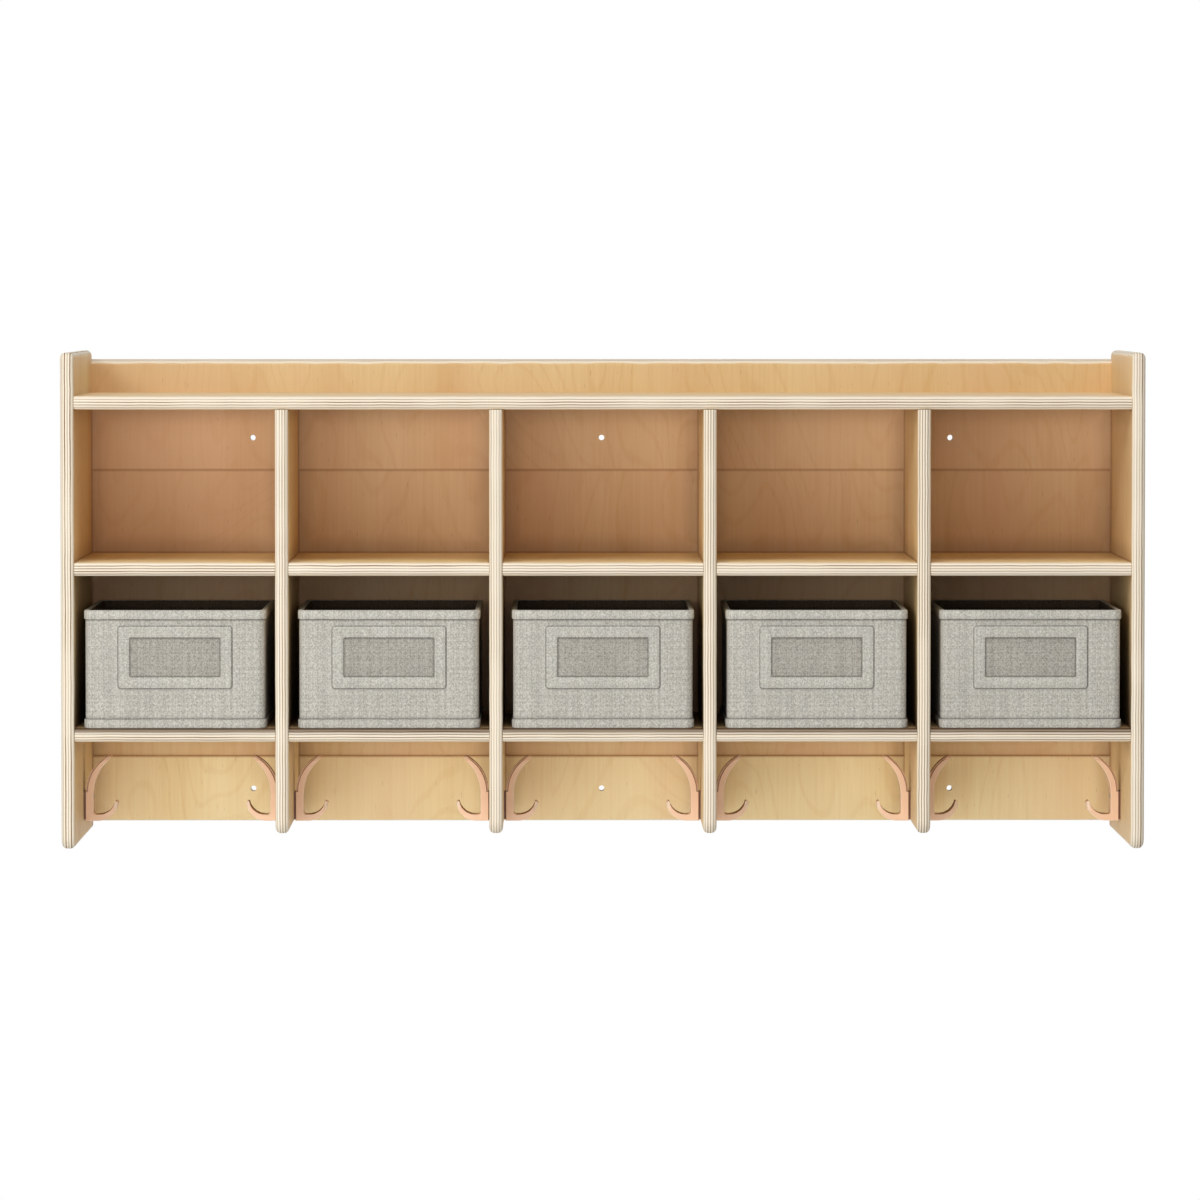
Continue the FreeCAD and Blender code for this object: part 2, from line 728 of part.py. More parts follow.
def make_label_frame():
    body = new_body("label_frame_master")
    sketch = new_sketch(body, "XZ_Plane")
    label_outline(sketch, "0", "dims.label_corner")
    label_outline(sketch, "dims.label_border", "dims.label_corner")
    pad(body, sketch, "dims.label_proud")
    return body


def make_label_card():
    body = new_body("label_card_master")
    sketch = new_sketch(body, "XZ_Plane")
    label_outline(sketch, "(dims.label_border + dims.card_gap)", "(dims.label_corner - dims.card_gap)")
    pad(body, sketch, "dims.card_thickness")
    return body


def make_bins():
    pieces = {
        "shell": make_bin_shell(),
        "rim_band": make_rim_band(),
        "base_board": make_base_board(),
        "label_frame": make_label_frame(),
        "label_card": make_label_card(),
    }
    front = f"{FRONT} + dims.bin_setback + dims.band_proud"
    floor = f"{FOOT} + {LOWER_SHELF} + dims.board"
    for section in range(1, SECTIONS + 1):
        for piece, master in pieces.items():
            copies(master, f"bin_{section}_{piece}", [(bay_x(section), front, floor, 0)])


# Fasteners
def turned(name, profile):
    """A round fastener along local +X, turned from its half section."""
    body = new_body(name)
    sketch = new_sketch(body, "XZ_Plane")
    outline(sketch, profile)
    feature = body.newObject("PartDesign::Revolution", f"{name}_turn")
    feature.Profile = sketch
    feature.ReferenceAxis = (sketch, ["H_Axis"])
    feature.Angle = 360
    doc.recompute()
    return body


def make_dowels():
    radius, bevel = "dims.dowel_diameter / 2", "dims.dowel_bevel"
    length = "dims.board + 2 * dims.shelf_dowel_bite"
    shelf_dowel = turned("shelf_dowel_master", [
        ("0", "0"), ("0", f"{radius} - {bevel}"), (bevel, radius), (f"{length} - {bevel}", radius),
        (length, f"{radius} - {bevel}"), (length, "0"),
    ])
    places = []
    for number in range(1, SECTIONS):
        start = f"{upright_x(number)} - dims.board / 2 - dims.shelf_dowel_bite"
        for level in (MIDDLE_SHELF, LOWER_SHELF):
            places += [(start, row, f"{FOOT} + {level} + dims.board / 2", 0) for row in DOWEL_ROWS]
    copies(shelf_dowel, "shelf_dowels", places)
    top_dowel = doc.addObject("Part::Cylinder", "top_dowel_master")
    bind(top_dowel, Radius=radius, Height="dims.top_dowel_depth + dims.top_dowel_rise")
    foot = f"{FOOT} + {TOP_SHELF} - dims.top_dowel_depth"
    copies(top_dowel, "top_dowels", [
        (upright_x(number), row, foot, 0) for number in range(1, SECTIONS) for row in DOWEL_ROWS
    ])


def make_side_screws():
    """Connecting screws, their heads flush with the side panels' outer faces."""
    head, shank = "dims.connector_head_diameter / 2", "dims.connector_shank_diameter / 2"
    core, length = "dims.connector_core_diameter / 2", "dims.board + dims.connector_bite"
    screw = turned("side_screw_master", [
        ("0", "0"), ("0", head), ("dims.connector_head_height", head), ("dims.connector_head_height", shank),
        ("dims.board", shank), ("dims.board", core), (f"{length} - {core}", core), (length, "0"),
    ])
    places = []
    for side, turn in ((-1, 0), (1, 180)):
        outside = f"{side} * dims.overall_width / 2"
        places += [(outside, row, f"{FOOT} + {height}", turn) for row, height in side_screw_places()]
    copies(screw, "side_screws", places)


def countersunk(name, head, head_height, shank, length):
    """A countersunk screw with a plain shank and a point."""
    return turned(name, [
        ("0", "0"), ("0", f"{head} / 2"), (head_height, f"{shank} / 2"),
        (f"{length} - {shank}", f"{shank} / 2"), (length, "0"),
    ])


def make_back_screws():
    screw = countersunk(
        "back_screw_master", "dims.back_screw_head_diameter", "dims.back_screw_head_height",
        "dims.back_screw_diameter", "dims.back_screw_length",
    )
    places = [
        (upright_x(number), "0", f"{FOOT} + {height}", -90)
        for number in range(1, SECTIONS) for height in BACK_SCREW_HEIGHTS
    ]
    places += [
        (bay_x(section), "0", f"{FOOT} + {TOP_SHELF} + dims.board / 2", -90)
        for section in range(1, SECTIONS + 1)
    ]
    copies(screw, "back_screws", places)


def make_hooks():
    hook = make_hook()
    screw = countersunk(
        "hook_screw_master", "dims.hook_screw_head_diameter", "dims.hook_screw_head_height",
        "dims.hook_screw_diameter", "dims.hook_stem + dims.hook_screw_bite",
    )
    screw_places = []
    for label, face, turn in hook_places():
        copies(hook, label, [(face, "-dims.hook_setback", f"{FOOT} + dims.hook_lift", turn)])
        outward = 1 if turn == 0 else -1
        head = f"{face} + {outward} * dims.hook_stem"
        screw_places += [(head, row, f"{FOOT} + {HOOK_SCREW_LEVEL}", 180 - turn) for row in HOOK_SCREW_ROWS]
    copies(screw, "hook_screws", screw_places)


def make_case():
    make_side_panel("side_panel_left", 0, -1)
    make_side_panel("side_panel_right", SECTIONS, 1)
    for number in range(1, SECTIONS):
        make_divider(f"divider_{number}", number)
    make_top_shelf("top_shelf")
    for section in range(1, SECTIONS + 1):
        make_section_shelf(f"middle_shelf_{section}", section, MIDDLE_SHELF)
        make_section_shelf(f"lower_shelf_{section}", section, LOWER_SHELF)
    make_back()


def check():
    """Stop if any feature failed or any piece is not a sound solid."""
    for thing in doc.Objects:
        if "Invalid" in thing.State or "Error" in thing.State:
            raise RuntimeError(f"{thing.Label} failed: {thing.State}")
    for piece in nodes:
        if piece.Shape.isNull() or not piece.Shape.isValid() or not piece.Shape.Solids:
            raise RuntimeError(f"{piece.Label} is not a sound solid")


def write():
    os.makedirs("parts", exist_ok=True)
    for piece in nodes:
        piece.Shape.exportStep(f"parts/{piece.Label}.step")
        print(piece.Label, len(piece.Shape.Solids), round(piece.Shape.Volume))


make_case()
make_hooks()
make_bins()
make_dowels()
make_side_screws()
make_back_screws()
doc.recompute()
check()
write()
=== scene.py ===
# %% [markdown]
# # A wall-mounted coat locker, dressed
# The locker is a birch plywood case in five sections. Each section has an open cubby, a fabric
# bin and two moulded coat hooks. The boards, hooks and screws come from a solid model at their
# real size, so this lesson only adds what a solid model leaves out: the finish of every surface,
# the fabric of the bins and the small work on the fasteners. Everything is in metres, with X
# along the locker, +Y into the wall and +Z up.

# %% Load the frame
import math

import bmesh
import bpy
import numpy as np
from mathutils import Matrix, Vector, noise


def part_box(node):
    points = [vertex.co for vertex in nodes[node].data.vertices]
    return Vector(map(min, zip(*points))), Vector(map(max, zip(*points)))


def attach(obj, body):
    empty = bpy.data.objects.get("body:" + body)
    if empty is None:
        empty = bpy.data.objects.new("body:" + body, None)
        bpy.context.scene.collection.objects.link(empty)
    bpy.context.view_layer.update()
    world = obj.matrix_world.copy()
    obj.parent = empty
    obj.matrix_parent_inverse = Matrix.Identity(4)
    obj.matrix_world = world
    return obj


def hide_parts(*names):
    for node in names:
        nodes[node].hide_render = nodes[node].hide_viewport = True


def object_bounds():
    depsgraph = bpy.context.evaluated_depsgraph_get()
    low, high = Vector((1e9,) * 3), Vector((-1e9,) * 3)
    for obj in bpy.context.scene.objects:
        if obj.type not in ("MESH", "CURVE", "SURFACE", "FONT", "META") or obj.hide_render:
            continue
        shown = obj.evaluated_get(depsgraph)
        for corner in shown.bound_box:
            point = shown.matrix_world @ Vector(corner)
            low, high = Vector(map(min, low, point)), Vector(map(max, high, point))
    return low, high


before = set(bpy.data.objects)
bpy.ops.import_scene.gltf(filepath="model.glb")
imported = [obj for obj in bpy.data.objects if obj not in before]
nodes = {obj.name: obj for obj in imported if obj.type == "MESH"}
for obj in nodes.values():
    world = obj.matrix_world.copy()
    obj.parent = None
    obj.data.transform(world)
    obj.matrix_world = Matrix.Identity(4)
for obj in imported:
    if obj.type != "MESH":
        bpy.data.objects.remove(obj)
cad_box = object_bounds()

SECTIONS = range(1, 6)

# %% [markdown]
# ## Camera
# The picture that we match was taken from far off with a long lens, a little above the locker and
# a little left of its middle. Aiming a camera from that place needs no lens shift, so views from
# other sides stay centred too.

# %% Camera
CAMERA_DISTANCE = 7.5
CAMERA_LEFT = 0.042
CAMERA_RISE = 0.343
LENS = 203.6
SENSOR = 36.0
AIM_LEFT = 0.0033
AIM_RISE = 0.0016


def add_object(name, data):
    """A new object in the scene, at the origin."""
    made = bpy.data.objects.new(name, data)
    bpy.context.scene.collection.objects.link(made)
    return made


def aim_at(thing, target):
    """Turn a camera or a lamp towards a point."""
    thing.rotation_euler = (target - thing.location).to_track_quat("-Z", "Y").to_euler()


low, high = cad_box
middle = (low + high) / 2
front_centre = Vector((middle.x, low.y, middle.z))
camera = add_object("camera", bpy.data.cameras.new("camera"))
camera.location = front_centre + Vector((-CAMERA_LEFT, -CAMERA_DISTANCE, CAMERA_RISE))
aim_at(camera, front_centre + Vector((-AIM_LEFT, 0, AIM_RISE)))
camera.data.sensor_width = SENSOR
camera.data.lens = LENS
bpy.context.scene.camera = camera
print("camera at", [round(c, 3) for c in camera.location])

# %% [markdown]
# ## Writing materials with nodes
# Every finish here is worked out from coordinates, with no pictures. A few small helpers keep the
# node code readable: each takes sockets or plain numbers and returns the socket that comes out.
# Colours are written as they look on a screen, 0 to 255, and turned into linear light once.

# %% Nodes and sums
def screen_colour(red, green, blue):
    """A colour as it looks on a screen, as the linear colour that Blender works in."""
    def linear(c):
        c = c / 255
        return c / 12.92 if c <= 0.04045 else ((c + 0.055) / 1.055) ** 2.4
    return (linear(red), linear(green), linear(blue), 1.0)


def feed(tree, socket, source):
    """Link a socket to another one, or give it a plain value."""
    if isinstance(source, bpy.types.NodeSocket):
        tree.links.new(source, socket)
    else:
        socket.default_value = source


def add_node(tree, kind, inputs=(), **settings):
    """A node with its settings, and with its inputs fed in order or by name."""
    node = tree.nodes.new(kind)
    for setting, value in settings.items():
        setattr(node, setting, value)
    named = inputs if isinstance(inputs, dict) else dict(enumerate(inputs))
    for key, source in named.items():
        feed(tree, node.inputs[key], source)
    return node


def calc(tree, operation, *sources):
    """The result of one Math node."""
    return add_node(tree, "ShaderNodeMath", sources, operation=operation).outputs[0]


def span(tree, source, at_0, at_1):
    """at_0 where the source is 0, at_1 where it is 1, and straight between them."""
    return calc(tree, "MULTIPLY_ADD", source, at_1 - at_0, at_0)


def vector(tree, *parts):
    """Three numbers as one vector."""
    return add_node(tree, "ShaderNodeCombineXYZ", parts).outputs[0]


def split(tree, source):
    """The three numbers of a vector."""
    return add_node(tree, "ShaderNodeSeparateXYZ", [source]).outputs


print("sums ready")

# %% Patterns and colours
MIX_FACTOR, MIX_FIRST, MIX_SECOND, MIX_RESULT = 0, 6, 7, 2


def cloud(tree, where, detail=2.0, scale=1.0, distortion=0.0):
    """Smooth noise between 0 and 1."""
    inputs = {"Vector": where, "Scale": scale, "Detail": detail, "Distortion": distortion}
    return add_node(tree, "ShaderNodeTexNoise", inputs).outputs[0]


def dice(tree, where):
    """One random number for each whole-number place."""
    return add_node(tree, "ShaderNodeTexWhiteNoise", {"Vector": where}, noise_dimensions="3D").outputs[0]


def rise(tree, source, low, high):
    """0 below low, 1 above high, and smooth between them."""
    inputs = {"Value": source, "From Min": low, "From Max": high}
    return add_node(tree, "ShaderNodeMapRange", inputs, interpolation_type="SMOOTHSTEP").outputs[0]


def fall(tree, source, low, high):
    """1 below low, 0 above high, and smooth between them."""
    return calc(tree, "SUBTRACT", 1.0, rise(tree, source, low, high))


def blend(tree, factor, first, second, mode="MIX"):
    """Two colours mixed, through the sockets that a Mix node has for colours."""
    inputs = {MIX_FACTOR: factor, MIX_FIRST: first, MIX_SECOND: second}
    return add_node(tree, "ShaderNodeMix", inputs, data_type="RGBA", blend_type=mode).outputs[MIX_RESULT]


print("patterns ready")

# %% Groups and materials
FLOAT, VECTOR, COLOUR = "NodeSocketFloat", "NodeSocketVector", "NodeSocketColor"


def new_group(name, inputs, outputs):
    """An empty shader node group, with its input sockets and its output sockets by name."""
    tree = bpy.data.node_groups.new(name, "ShaderNodeTree")
    for socket, kind in inputs.items():
        tree.interface.new_socket(socket, in_out="INPUT", socket_type=kind)
    for socket, kind in outputs.items():
        tree.interface.new_socket(socket, in_out="OUTPUT", socket_type=kind)
    start = tree.nodes.new("NodeGroupInput")
    end = tree.nodes.new("NodeGroupOutput")
    return tree, start.outputs, end.inputs


def use_group(tree, group, **sources):
    """Place a group, its inputs fed by their names in small letters."""
    inputs = {name.title(): source for name, source in sources.items()}
    return add_node(tree, "ShaderNodeGroup", inputs, node_tree=group).outputs


def new_material(name):
    """A material with one Principled BSDF, and the two of them with the tree."""
    material = bpy.data.materials.new(name)
    material.use_nodes = True
    tree = material.node_tree
    shader = next(node for node in tree.nodes if node.type == "BSDF_PRINCIPLED")
    return material, tree, shader


def set_shader(tree, shader, inputs):
    """Feed the shader's inputs by name."""
    for name, source in inputs.items():
        feed(tree, shader.inputs[name], source)


def emboss(tree, shader, height, distance, strength):
    """Feed a height through a Bump node to the shader's normal."""
    inputs = {"Height": height, "Distance": distance, "Strength": strength}
    set_shader(tree, shader, {"Normal": add_node(tree, "ShaderNodeBump", inputs).outputs[0]})


def object_place(tree):
    """The place on the piece, which is its place on the locker, because no piece is moved."""
    return add_node(tree, "ShaderNodeTexCoord").outputs["Object"]


print("groups and materials ready")

# %% [markdown]
# ## Birch veneer
# The faces of the boards are peeled birch. Peeling gives long soft stripes and finer streaks along
# the grain, faint wandering growth lines, hair-fine fibres and now and then a short brown fleck, and
# the sheet drifts between yellow and rosy. Each is noise that is stretched along the grain. The group
# takes the distance across and along the grain and the board's number, which moves the pattern on so
# that no two boards are alike.

# %% Veneer group
VENEER_PALE = screen_colour(237, 210, 160)
VENEER_DEEP = screen_colour(220, 181, 124)
VENEER_ROSY = screen_colour(228, 184, 141)
VENEER_FLECK = screen_colour(160, 112, 66)
BOARD_SHIFT = 3.17
GROWTH_LINES = 110
PATTERNS = {
    # name: (changes a metre across and along the grain, detail, noise where it starts and is full)
    "stripes": (13, 1.1, 4.0, 0.30, 0.70),
    "streaks": (240, 4.0, 3.0, 0.28, 0.72),
    "flecks": (620, 70, 1.0, 0.71, 0.78),
    "rosy": (9, 1.8, 2.0, 0.38, 0.68),
}
PALE_SHARES = {"stripes": 0.42, "streaks": 0.20, "fibres": 0.50, "growth": -0.18}
STAINS = {"rosy": (0.4, VENEER_ROSY), "flecks": (0.35, VENEER_FLECK)}
FLECK_PIT = -0.5

veneer, at, out = new_group(
    "birch veneer",
    {"Across": FLOAT, "Along": FLOAT, "Board": FLOAT},
    {"Color": COLOUR, "Fibre": FLOAT},
)
across = calc(veneer, "ADD", at["Across"], calc(veneer, "MULTIPLY", at["Board"], BOARD_SHIFT))


def grain(across_scale, along_scale, detail=2.0, distortion=0.0):
    """Noise in the veneer, so many changes a metre across and along the grain."""
    where = vector(
        veneer,
        calc(veneer, "MULTIPLY", across, across_scale),
        calc(veneer, "MULTIPLY", at["Along"], along_scale),
        at["Board"],
    )
    return cloud(veneer, where, detail, distortion=distortion)


patterns = {}
for name, (across_scale, along_scale, detail, starts, full) in PATTERNS.items():
    patterns[name] = rise(veneer, grain(across_scale, along_scale, detail), starts, full)
patterns["fibres"] = grain(1300, 26)
wander = calc(veneer, "MULTIPLY", grain(7, 2.6, detail=1.5, distortion=0.4), GROWTH_LINES)
patterns["growth"] = rise(veneer, calc(veneer, "SINE", wander), 0.6, 1.0)

tone = 0.0
for name, share in PALE_SHARES.items():
    tone = calc(veneer, "MULTIPLY_ADD", patterns[name], share, tone)
colour = blend(veneer, tone, VENEER_DEEP, VENEER_PALE)
for name, (share, stain) in STAINS.items():
    colour = blend(veneer, calc(veneer, "MULTIPLY", patterns[name], share), colour, stain)
feed(veneer, out["Color"], colour)
feed(veneer, out["Fibre"], calc(veneer, "MULTIPLY_ADD", patterns["flecks"], FLECK_PIT, patterns["fibres"]))
print("veneer group:", len(veneer.nodes), "nodes")

# %% [markdown]
# ## Plies
# On an edge, plywood shows its layers. The colour depends only on how deep a point lies in the
# board, as it does in the real sheet, so the layers also curve correctly round every rounded edge
# and into every hole. Every second ply is cut across its fibres and looks darker, some much more
# than others, and fainter next to the faces. The lines waver a little and fade here and there.

# %% Ply group
PLY = 0.0015
OUTER_PLY = 0.0014
FACE_VENEER = 0.0004
WAVER = 0.00055
PLY_PALE = screen_colour(248, 239, 221)
PLY_WARM = screen_colour(239, 223, 196)
PLY_DARK = screen_colour(116, 78, 42)
WEAKEST_LINE, FADED_LINE, OUTER_LINE = 0.45, 0.65, 0.25
WARM_PLY, WARM_SPECKLE = 0.4, 0.5
EDGE_SHIFT, PLY_SEED = 5.3, 4.0

plies, at, out = new_group(
    "plies",
    {"Depth": FLOAT, "Thickness": FLOAT, "Across": FLOAT, "Along": FLOAT, "Board": FLOAT},
    {"Color": COLOUR, "Face": FLOAT},
)


def along_edge(scale, detail=1.0):
    """Noise that runs along the edges, so many changes a metre."""
    where = vector(
        plies,
        calc(plies, "MULTIPLY", at["Across"], scale),
        calc(plies, "MULTIPLY", at["Along"], scale),
        calc(plies, "MULTIPLY", at["Board"], EDGE_SHIFT),
    )
    return cloud(plies, where, detail)


depth = calc(plies, "ADD", at["Depth"], span(plies, along_edge(35), -WAVER, WAVER))
nearest_face = calc(plies, "MINIMUM", depth, calc(plies, "SUBTRACT", at["Thickness"], depth))
layer = calc(plies, "DIVIDE", depth, PLY)
number = calc(plies, "FLOOR", layer)
second = calc(plies, "FLOORED_MODULO", number, 2)
from_middle = calc(plies, "ABSOLUTE", calc(plies, "SUBTRACT", calc(plies, "FRACT", layer), 0.5))
chance = dice(plies, vector(plies, number, at["Board"], PLY_SEED))
inward = rise(plies, nearest_face, OUTER_PLY, OUTER_PLY + PLY)

dark = calc(plies, "MULTIPLY", second, fall(plies, from_middle, 0.30, 0.50))
dark = calc(plies, "MULTIPLY", dark, span(plies, chance, WEAKEST_LINE, 1.0))
dark = calc(plies, "MULTIPLY", dark, span(plies, rise(plies, along_edge(11, 2.0), 0.3, 0.6), FADED_LINE, 1.0))
dark = calc(plies, "MULTIPLY", dark, span(plies, inward, OUTER_LINE, 1.0))
warm = calc(plies, "MULTIPLY_ADD", along_edge(900), WARM_SPECKLE, calc(plies, "MULTIPLY", chance, WARM_PLY))
colour = blend(plies, dark, blend(plies, warm, PLY_PALE, PLY_WARM), PLY_DARK)
feed(plies, out["Color"], colour)
feed(plies, out["Face"], fall(plies, nearest_face, FACE_VENEER * 0.7, FACE_VENEER * 1.3))
print("ply group:", len(plies.nodes), "nodes")

# %% [markdown]
# ## One plywood finish for each way that a board lies
# Uprights are stacked along X, shelves along Z and the back along Y. The same function writes all
# of them: it picks the three directions and measures where each board starts from the frame. The
# boards that repeat along the locker share a finish, and their number comes from their place.
# Where boards meet, a thin dark line is painted, partly a dark joint and partly the shadow in the
# joint, with a wider painted shade beside it, where shade falls in the corners. So the finish also
# measures how far the nearest joint is: the faces of the shelves, the seams of the back and the back
# itself. That counts only where there is a board to meet: not on the outside of the case, and not
# above the top shelf, where the dividers end. The lower shelves also have a painted shadow of the
# bins on their upper front arris, and the uprights beside the bins carry painted shade that grows
# darker downwards. Within the sections the back is a little rosier, because light bounces there
# from board to board.

# %% Where the boards lie
first_upright, upright_end = (corner.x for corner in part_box("side_panel_left"))
board_thickness = upright_end - first_upright
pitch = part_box("divider_1")[0].x - first_upright
divider_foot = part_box("divider_1")[0].z
middle_shelf = [corner.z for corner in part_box("middle_shelf_1")]
lower_shelf = [corner.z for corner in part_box("lower_shelf_1")]
top_shelf_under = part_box("top_shelf")[0].z
top_shelf_middle = top_shelf_under + board_thickness / 2
shelf_faces = [top_shelf_under] + middle_shelf + lower_shelf
bin_floor = lower_shelf[1]
bin_bay = middle_shelf[0] - bin_floor
seams = [corner.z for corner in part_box("back_panel")]
back_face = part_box("upper_back_rail")[0].y
print("shelf faces at", [round(level, 4) for level in shelf_faces], "feet at", round(divider_foot, 4))

# %% Distances on the boards
FAR_OFF = 1.0


def nearest(tree, *distances):
    """The least of some distances."""
    least = distances[0]
    for distance in distances[1:]:
        least = calc(tree, "MINIMUM", least, distance)
    return least


def gap(tree, position, *planes):
    """Distance to the nearest of some planes across one axis."""
    across = [calc(tree, "SUBTRACT", position, plane) for plane in planes]
    return nearest(tree, *(calc(tree, "ABSOLUTE", distance) for distance in across))


def only_below(tree, distance, position, limit):
    """A distance that counts only where a position is below a limit."""
    return calc(tree, "MULTIPLY_ADD", calc(tree, "GREATER_THAN", position, limit), FAR_OFF, distance)


def place_in_bay(tree, place):
    """Distance along the locker from the left face of the upright before a place."""
    return calc(tree, "FLOORED_MODULO", calc(tree, "SUBTRACT", place[0], first_upright), pitch)


def upright_gap(tree, place):
    """Distance to the uprights on any other board."""
    return gap(tree, place_in_bay(tree, place), 0.0, board_thickness, pitch)


def inner_faces(tree, distance, place):
    """A distance that counts only on the uprights' faces towards the sections."""
    off_centre = gap(tree, place[0], middle.x)
    return only_below(tree, distance, off_centre, (high.x - low.x - board_thickness) / 2)


print("distances ready")

# %% Joints between the boards
ARRIS_DEPTH = 0.006


def upright_joints(tree, place):
    """On an upright: the shelves and the back."""
    back = only_below(tree, gap(tree, place[1], back_face), place[2], top_shelf_middle)
    joint = nearest(tree, gap(tree, place[2], *shelf_faces), back)
    return inner_faces(tree, joint, place)


def shelf_joints(tree, place):
    """On a shelf: the uprights and the back, up to the underside of the top shelf."""
    joint = nearest(tree, upright_gap(tree, place), gap(tree, place[1], back_face))
    return only_below(tree, joint, place[2], top_shelf_middle)


def back_joints(tree, place):
    """On the back: the shelves, and the uprights down to the dividers' feet, on the front only."""
    under_foot = calc(tree, "SUBTRACT", divider_foot, place[2])
    upright = only_below(tree, upright_gap(tree, place), under_foot, 0.0)
    joint = nearest(tree, upright, gap(tree, place[2], *shelf_faces))
    joint = only_below(tree, joint, place[2], top_shelf_middle)
    return only_below(tree, joint, place[1], back_face / 2)


JOINTS = {"X": upright_joints, "Y": back_joints, "Z": shelf_joints}


def beside_bin(tree, place):
    """On an upright: the height over the shelf that the bins stand on."""
    under = calc(tree, "SUBTRACT", bin_floor, place[2])
    height = only_below(tree, gap(tree, place[2], bin_floor), under, board_thickness / 2)
    return inner_faces(tree, height, place)


def outside_sections(tree, place):
    """On the back: how far a place lies over the top shelf or under the bins, below 0 between them."""
    over = calc(tree, "SUBTRACT", place[2], top_shelf_middle)
    return calc(tree, "MAXIMUM", over, calc(tree, "SUBTRACT", bin_floor, place[2]))


def front_arris(tree, place, shelf):
    """On a shelf: the distance to its upper front arris."""
    corner_low, corner_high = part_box(shelf)
    behind = calc(tree, "SUBTRACT", place[1], corner_low.y + ARRIS_DEPTH)
    return calc(tree, "MAXIMUM", behind, gap(tree, place[2], corner_high.z))


print("joints on boards stacked along", ", ".join(JOINTS))

# %% Plywood
AXES = {"X": 0, "Y": 1, "Z": 2}
# painted light: the tint that lightens a board's veneer where more light falls on it
LIT_VENEER_TINT = (1.18, 1.32, 1.4, 1.0)
JOINT_LINE = 0.0026
JOINT_SHADE = 0.026
# reach of the painted shadow of the bins on the lower shelves' upper front arris
ARRIS_SHADOW_REACH = 0.0085
# shares of red, green and blue that are lost; below 0 is a gain
# the dark line along each joint and seam: partly a dark joint, partly painted shadow in it
LINE_DARK = (0.28, 0.40, 0.48)
# painted shade beside each joint, where shade falls in the corners between boards
SHADE_DARK = (0.21, 0.24, 0.25)
ARRIS_SHADOW_DARK = (0.88, 0.93, 0.97)
# painted shade on the uprights beside the bins, darkest at the shelf that they stand on
BIN_BAY_SHADE = (0.76, 0.78, 0.80)
SECTION_ROSY = (-0.03, 0.025, -0.03)
LACQUER_ROUGHNESS = 0.46
EDGE_ROUGHNESS = 0.62
FIBRE_ROUGHNESS = 0.08
MARGIN = 0.05


def darken_near(tree, colour, distance, reach, dark, mask):
    """A colour that loses those shares of red, green and blue where a distance nears 0."""
    near = calc(tree, "MULTIPLY", fall(tree, distance, 0.0, reach), mask)
    kept = vector(tree, *(span(tree, near, 1.0, 1.0 - share) for share in dark))
    return blend(tree, 1.0, colour, kept, "MULTIPLY")


def plywood(name, sample, stack, along, board, repeats=False, pale=0.0, bin_shadow=False):
    """A plywood finish for boards like sample, stacked along one axis with the grain along another.

    board is the number that moves the pattern on, and it counts up over boards that repeat along the
    locker. pale paints light: it is how far this sheet's veneer is made lighter than the others, where
    more light falls on that board. With worn set, a shelf gets a painted shadow of the bins on its
    upper front arris.
    """
    material, tree, shader = new_material(name)
    start, end = (corner[AXES[stack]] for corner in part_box(sample))
    place = split(tree, object_place(tree))
    margin = MARGIN if stack == "X" else 0.0
    from_first = calc(tree, "SUBTRACT", place[0], first_upright - margin)
    count = calc(tree, "FLOOR", calc(tree, "DIVIDE", from_first, pitch)) if repeats else 0.0
    depth = calc(tree, "SUBTRACT", place[AXES[stack]], start)
    if repeats and stack == "X":
        depth = calc(tree, "SUBTRACT", calc(tree, "FLOORED_MODULO", from_first, pitch), margin)
    across = next(axis for axis in AXES if axis not in (stack, along))
    identity = calc(tree, "ADD", count, board)
    lies = {"across": place[AXES[across]], "along": place[AXES[along]], "board": identity}
    face = use_group(tree, veneer, **lies)
    edge = use_group(tree, plies, depth=depth, thickness=end - start, **lies)
    # painted light on the boards that get more of it
    faced = blend(tree, pale, face["Color"], LIT_VENEER_TINT, "MULTIPLY")
    colour = blend(tree, edge["Face"], edge["Color"], faced)

    joint = JOINTS[stack](tree, place)
    line = nearest(tree, joint, gap(tree, place[2], *seams)) if stack == "Y" else joint
    # painted shadow along the joints, and painted shade beside them
    shades = [(line, JOINT_LINE, LINE_DARK), (joint, JOINT_SHADE, SHADE_DARK)]
    if stack == "X":
        # painted shade beside the bins, darker downwards
        shades.append((beside_bin(tree, place), bin_bay, BIN_BAY_SHADE))
    if stack == "Y":
        shades.append((outside_sections(tree, place), board_thickness / 2, SECTION_ROSY))
    for distance, reach, dark in shades:
        colour = darken_near(tree, colour, distance, reach, dark, edge["Face"])
    # painted shadow of the bins on the upper front arris
    if bin_shadow:
        colour = darken_near(tree, colour, front_arris(tree, place, sample), ARRIS_SHADOW_REACH, ARRIS_SHADOW_DARK, 1.0)
    roughness = span(tree, edge["Face"], EDGE_ROUGHNESS, LACQUER_ROUGHNESS)
    roughness = calc(tree, "MULTIPLY_ADD", face["Fibre"], FIBRE_ROUGHNESS, roughness)
    set_shader(tree, shader, {"Base Color": colour, "Roughness": roughness, "Specular IOR Level": 0.35})
    emboss(tree, shader, face["Fibre"], distance=0.0002, strength=0.35)
    return material


def dress(material, *names):
    """Give CAD pieces a finish in place of their plain one."""
    for name in names:
        nodes[name].data.materials.clear()
        nodes[name].data.materials.append(material)


print("plywood ready")

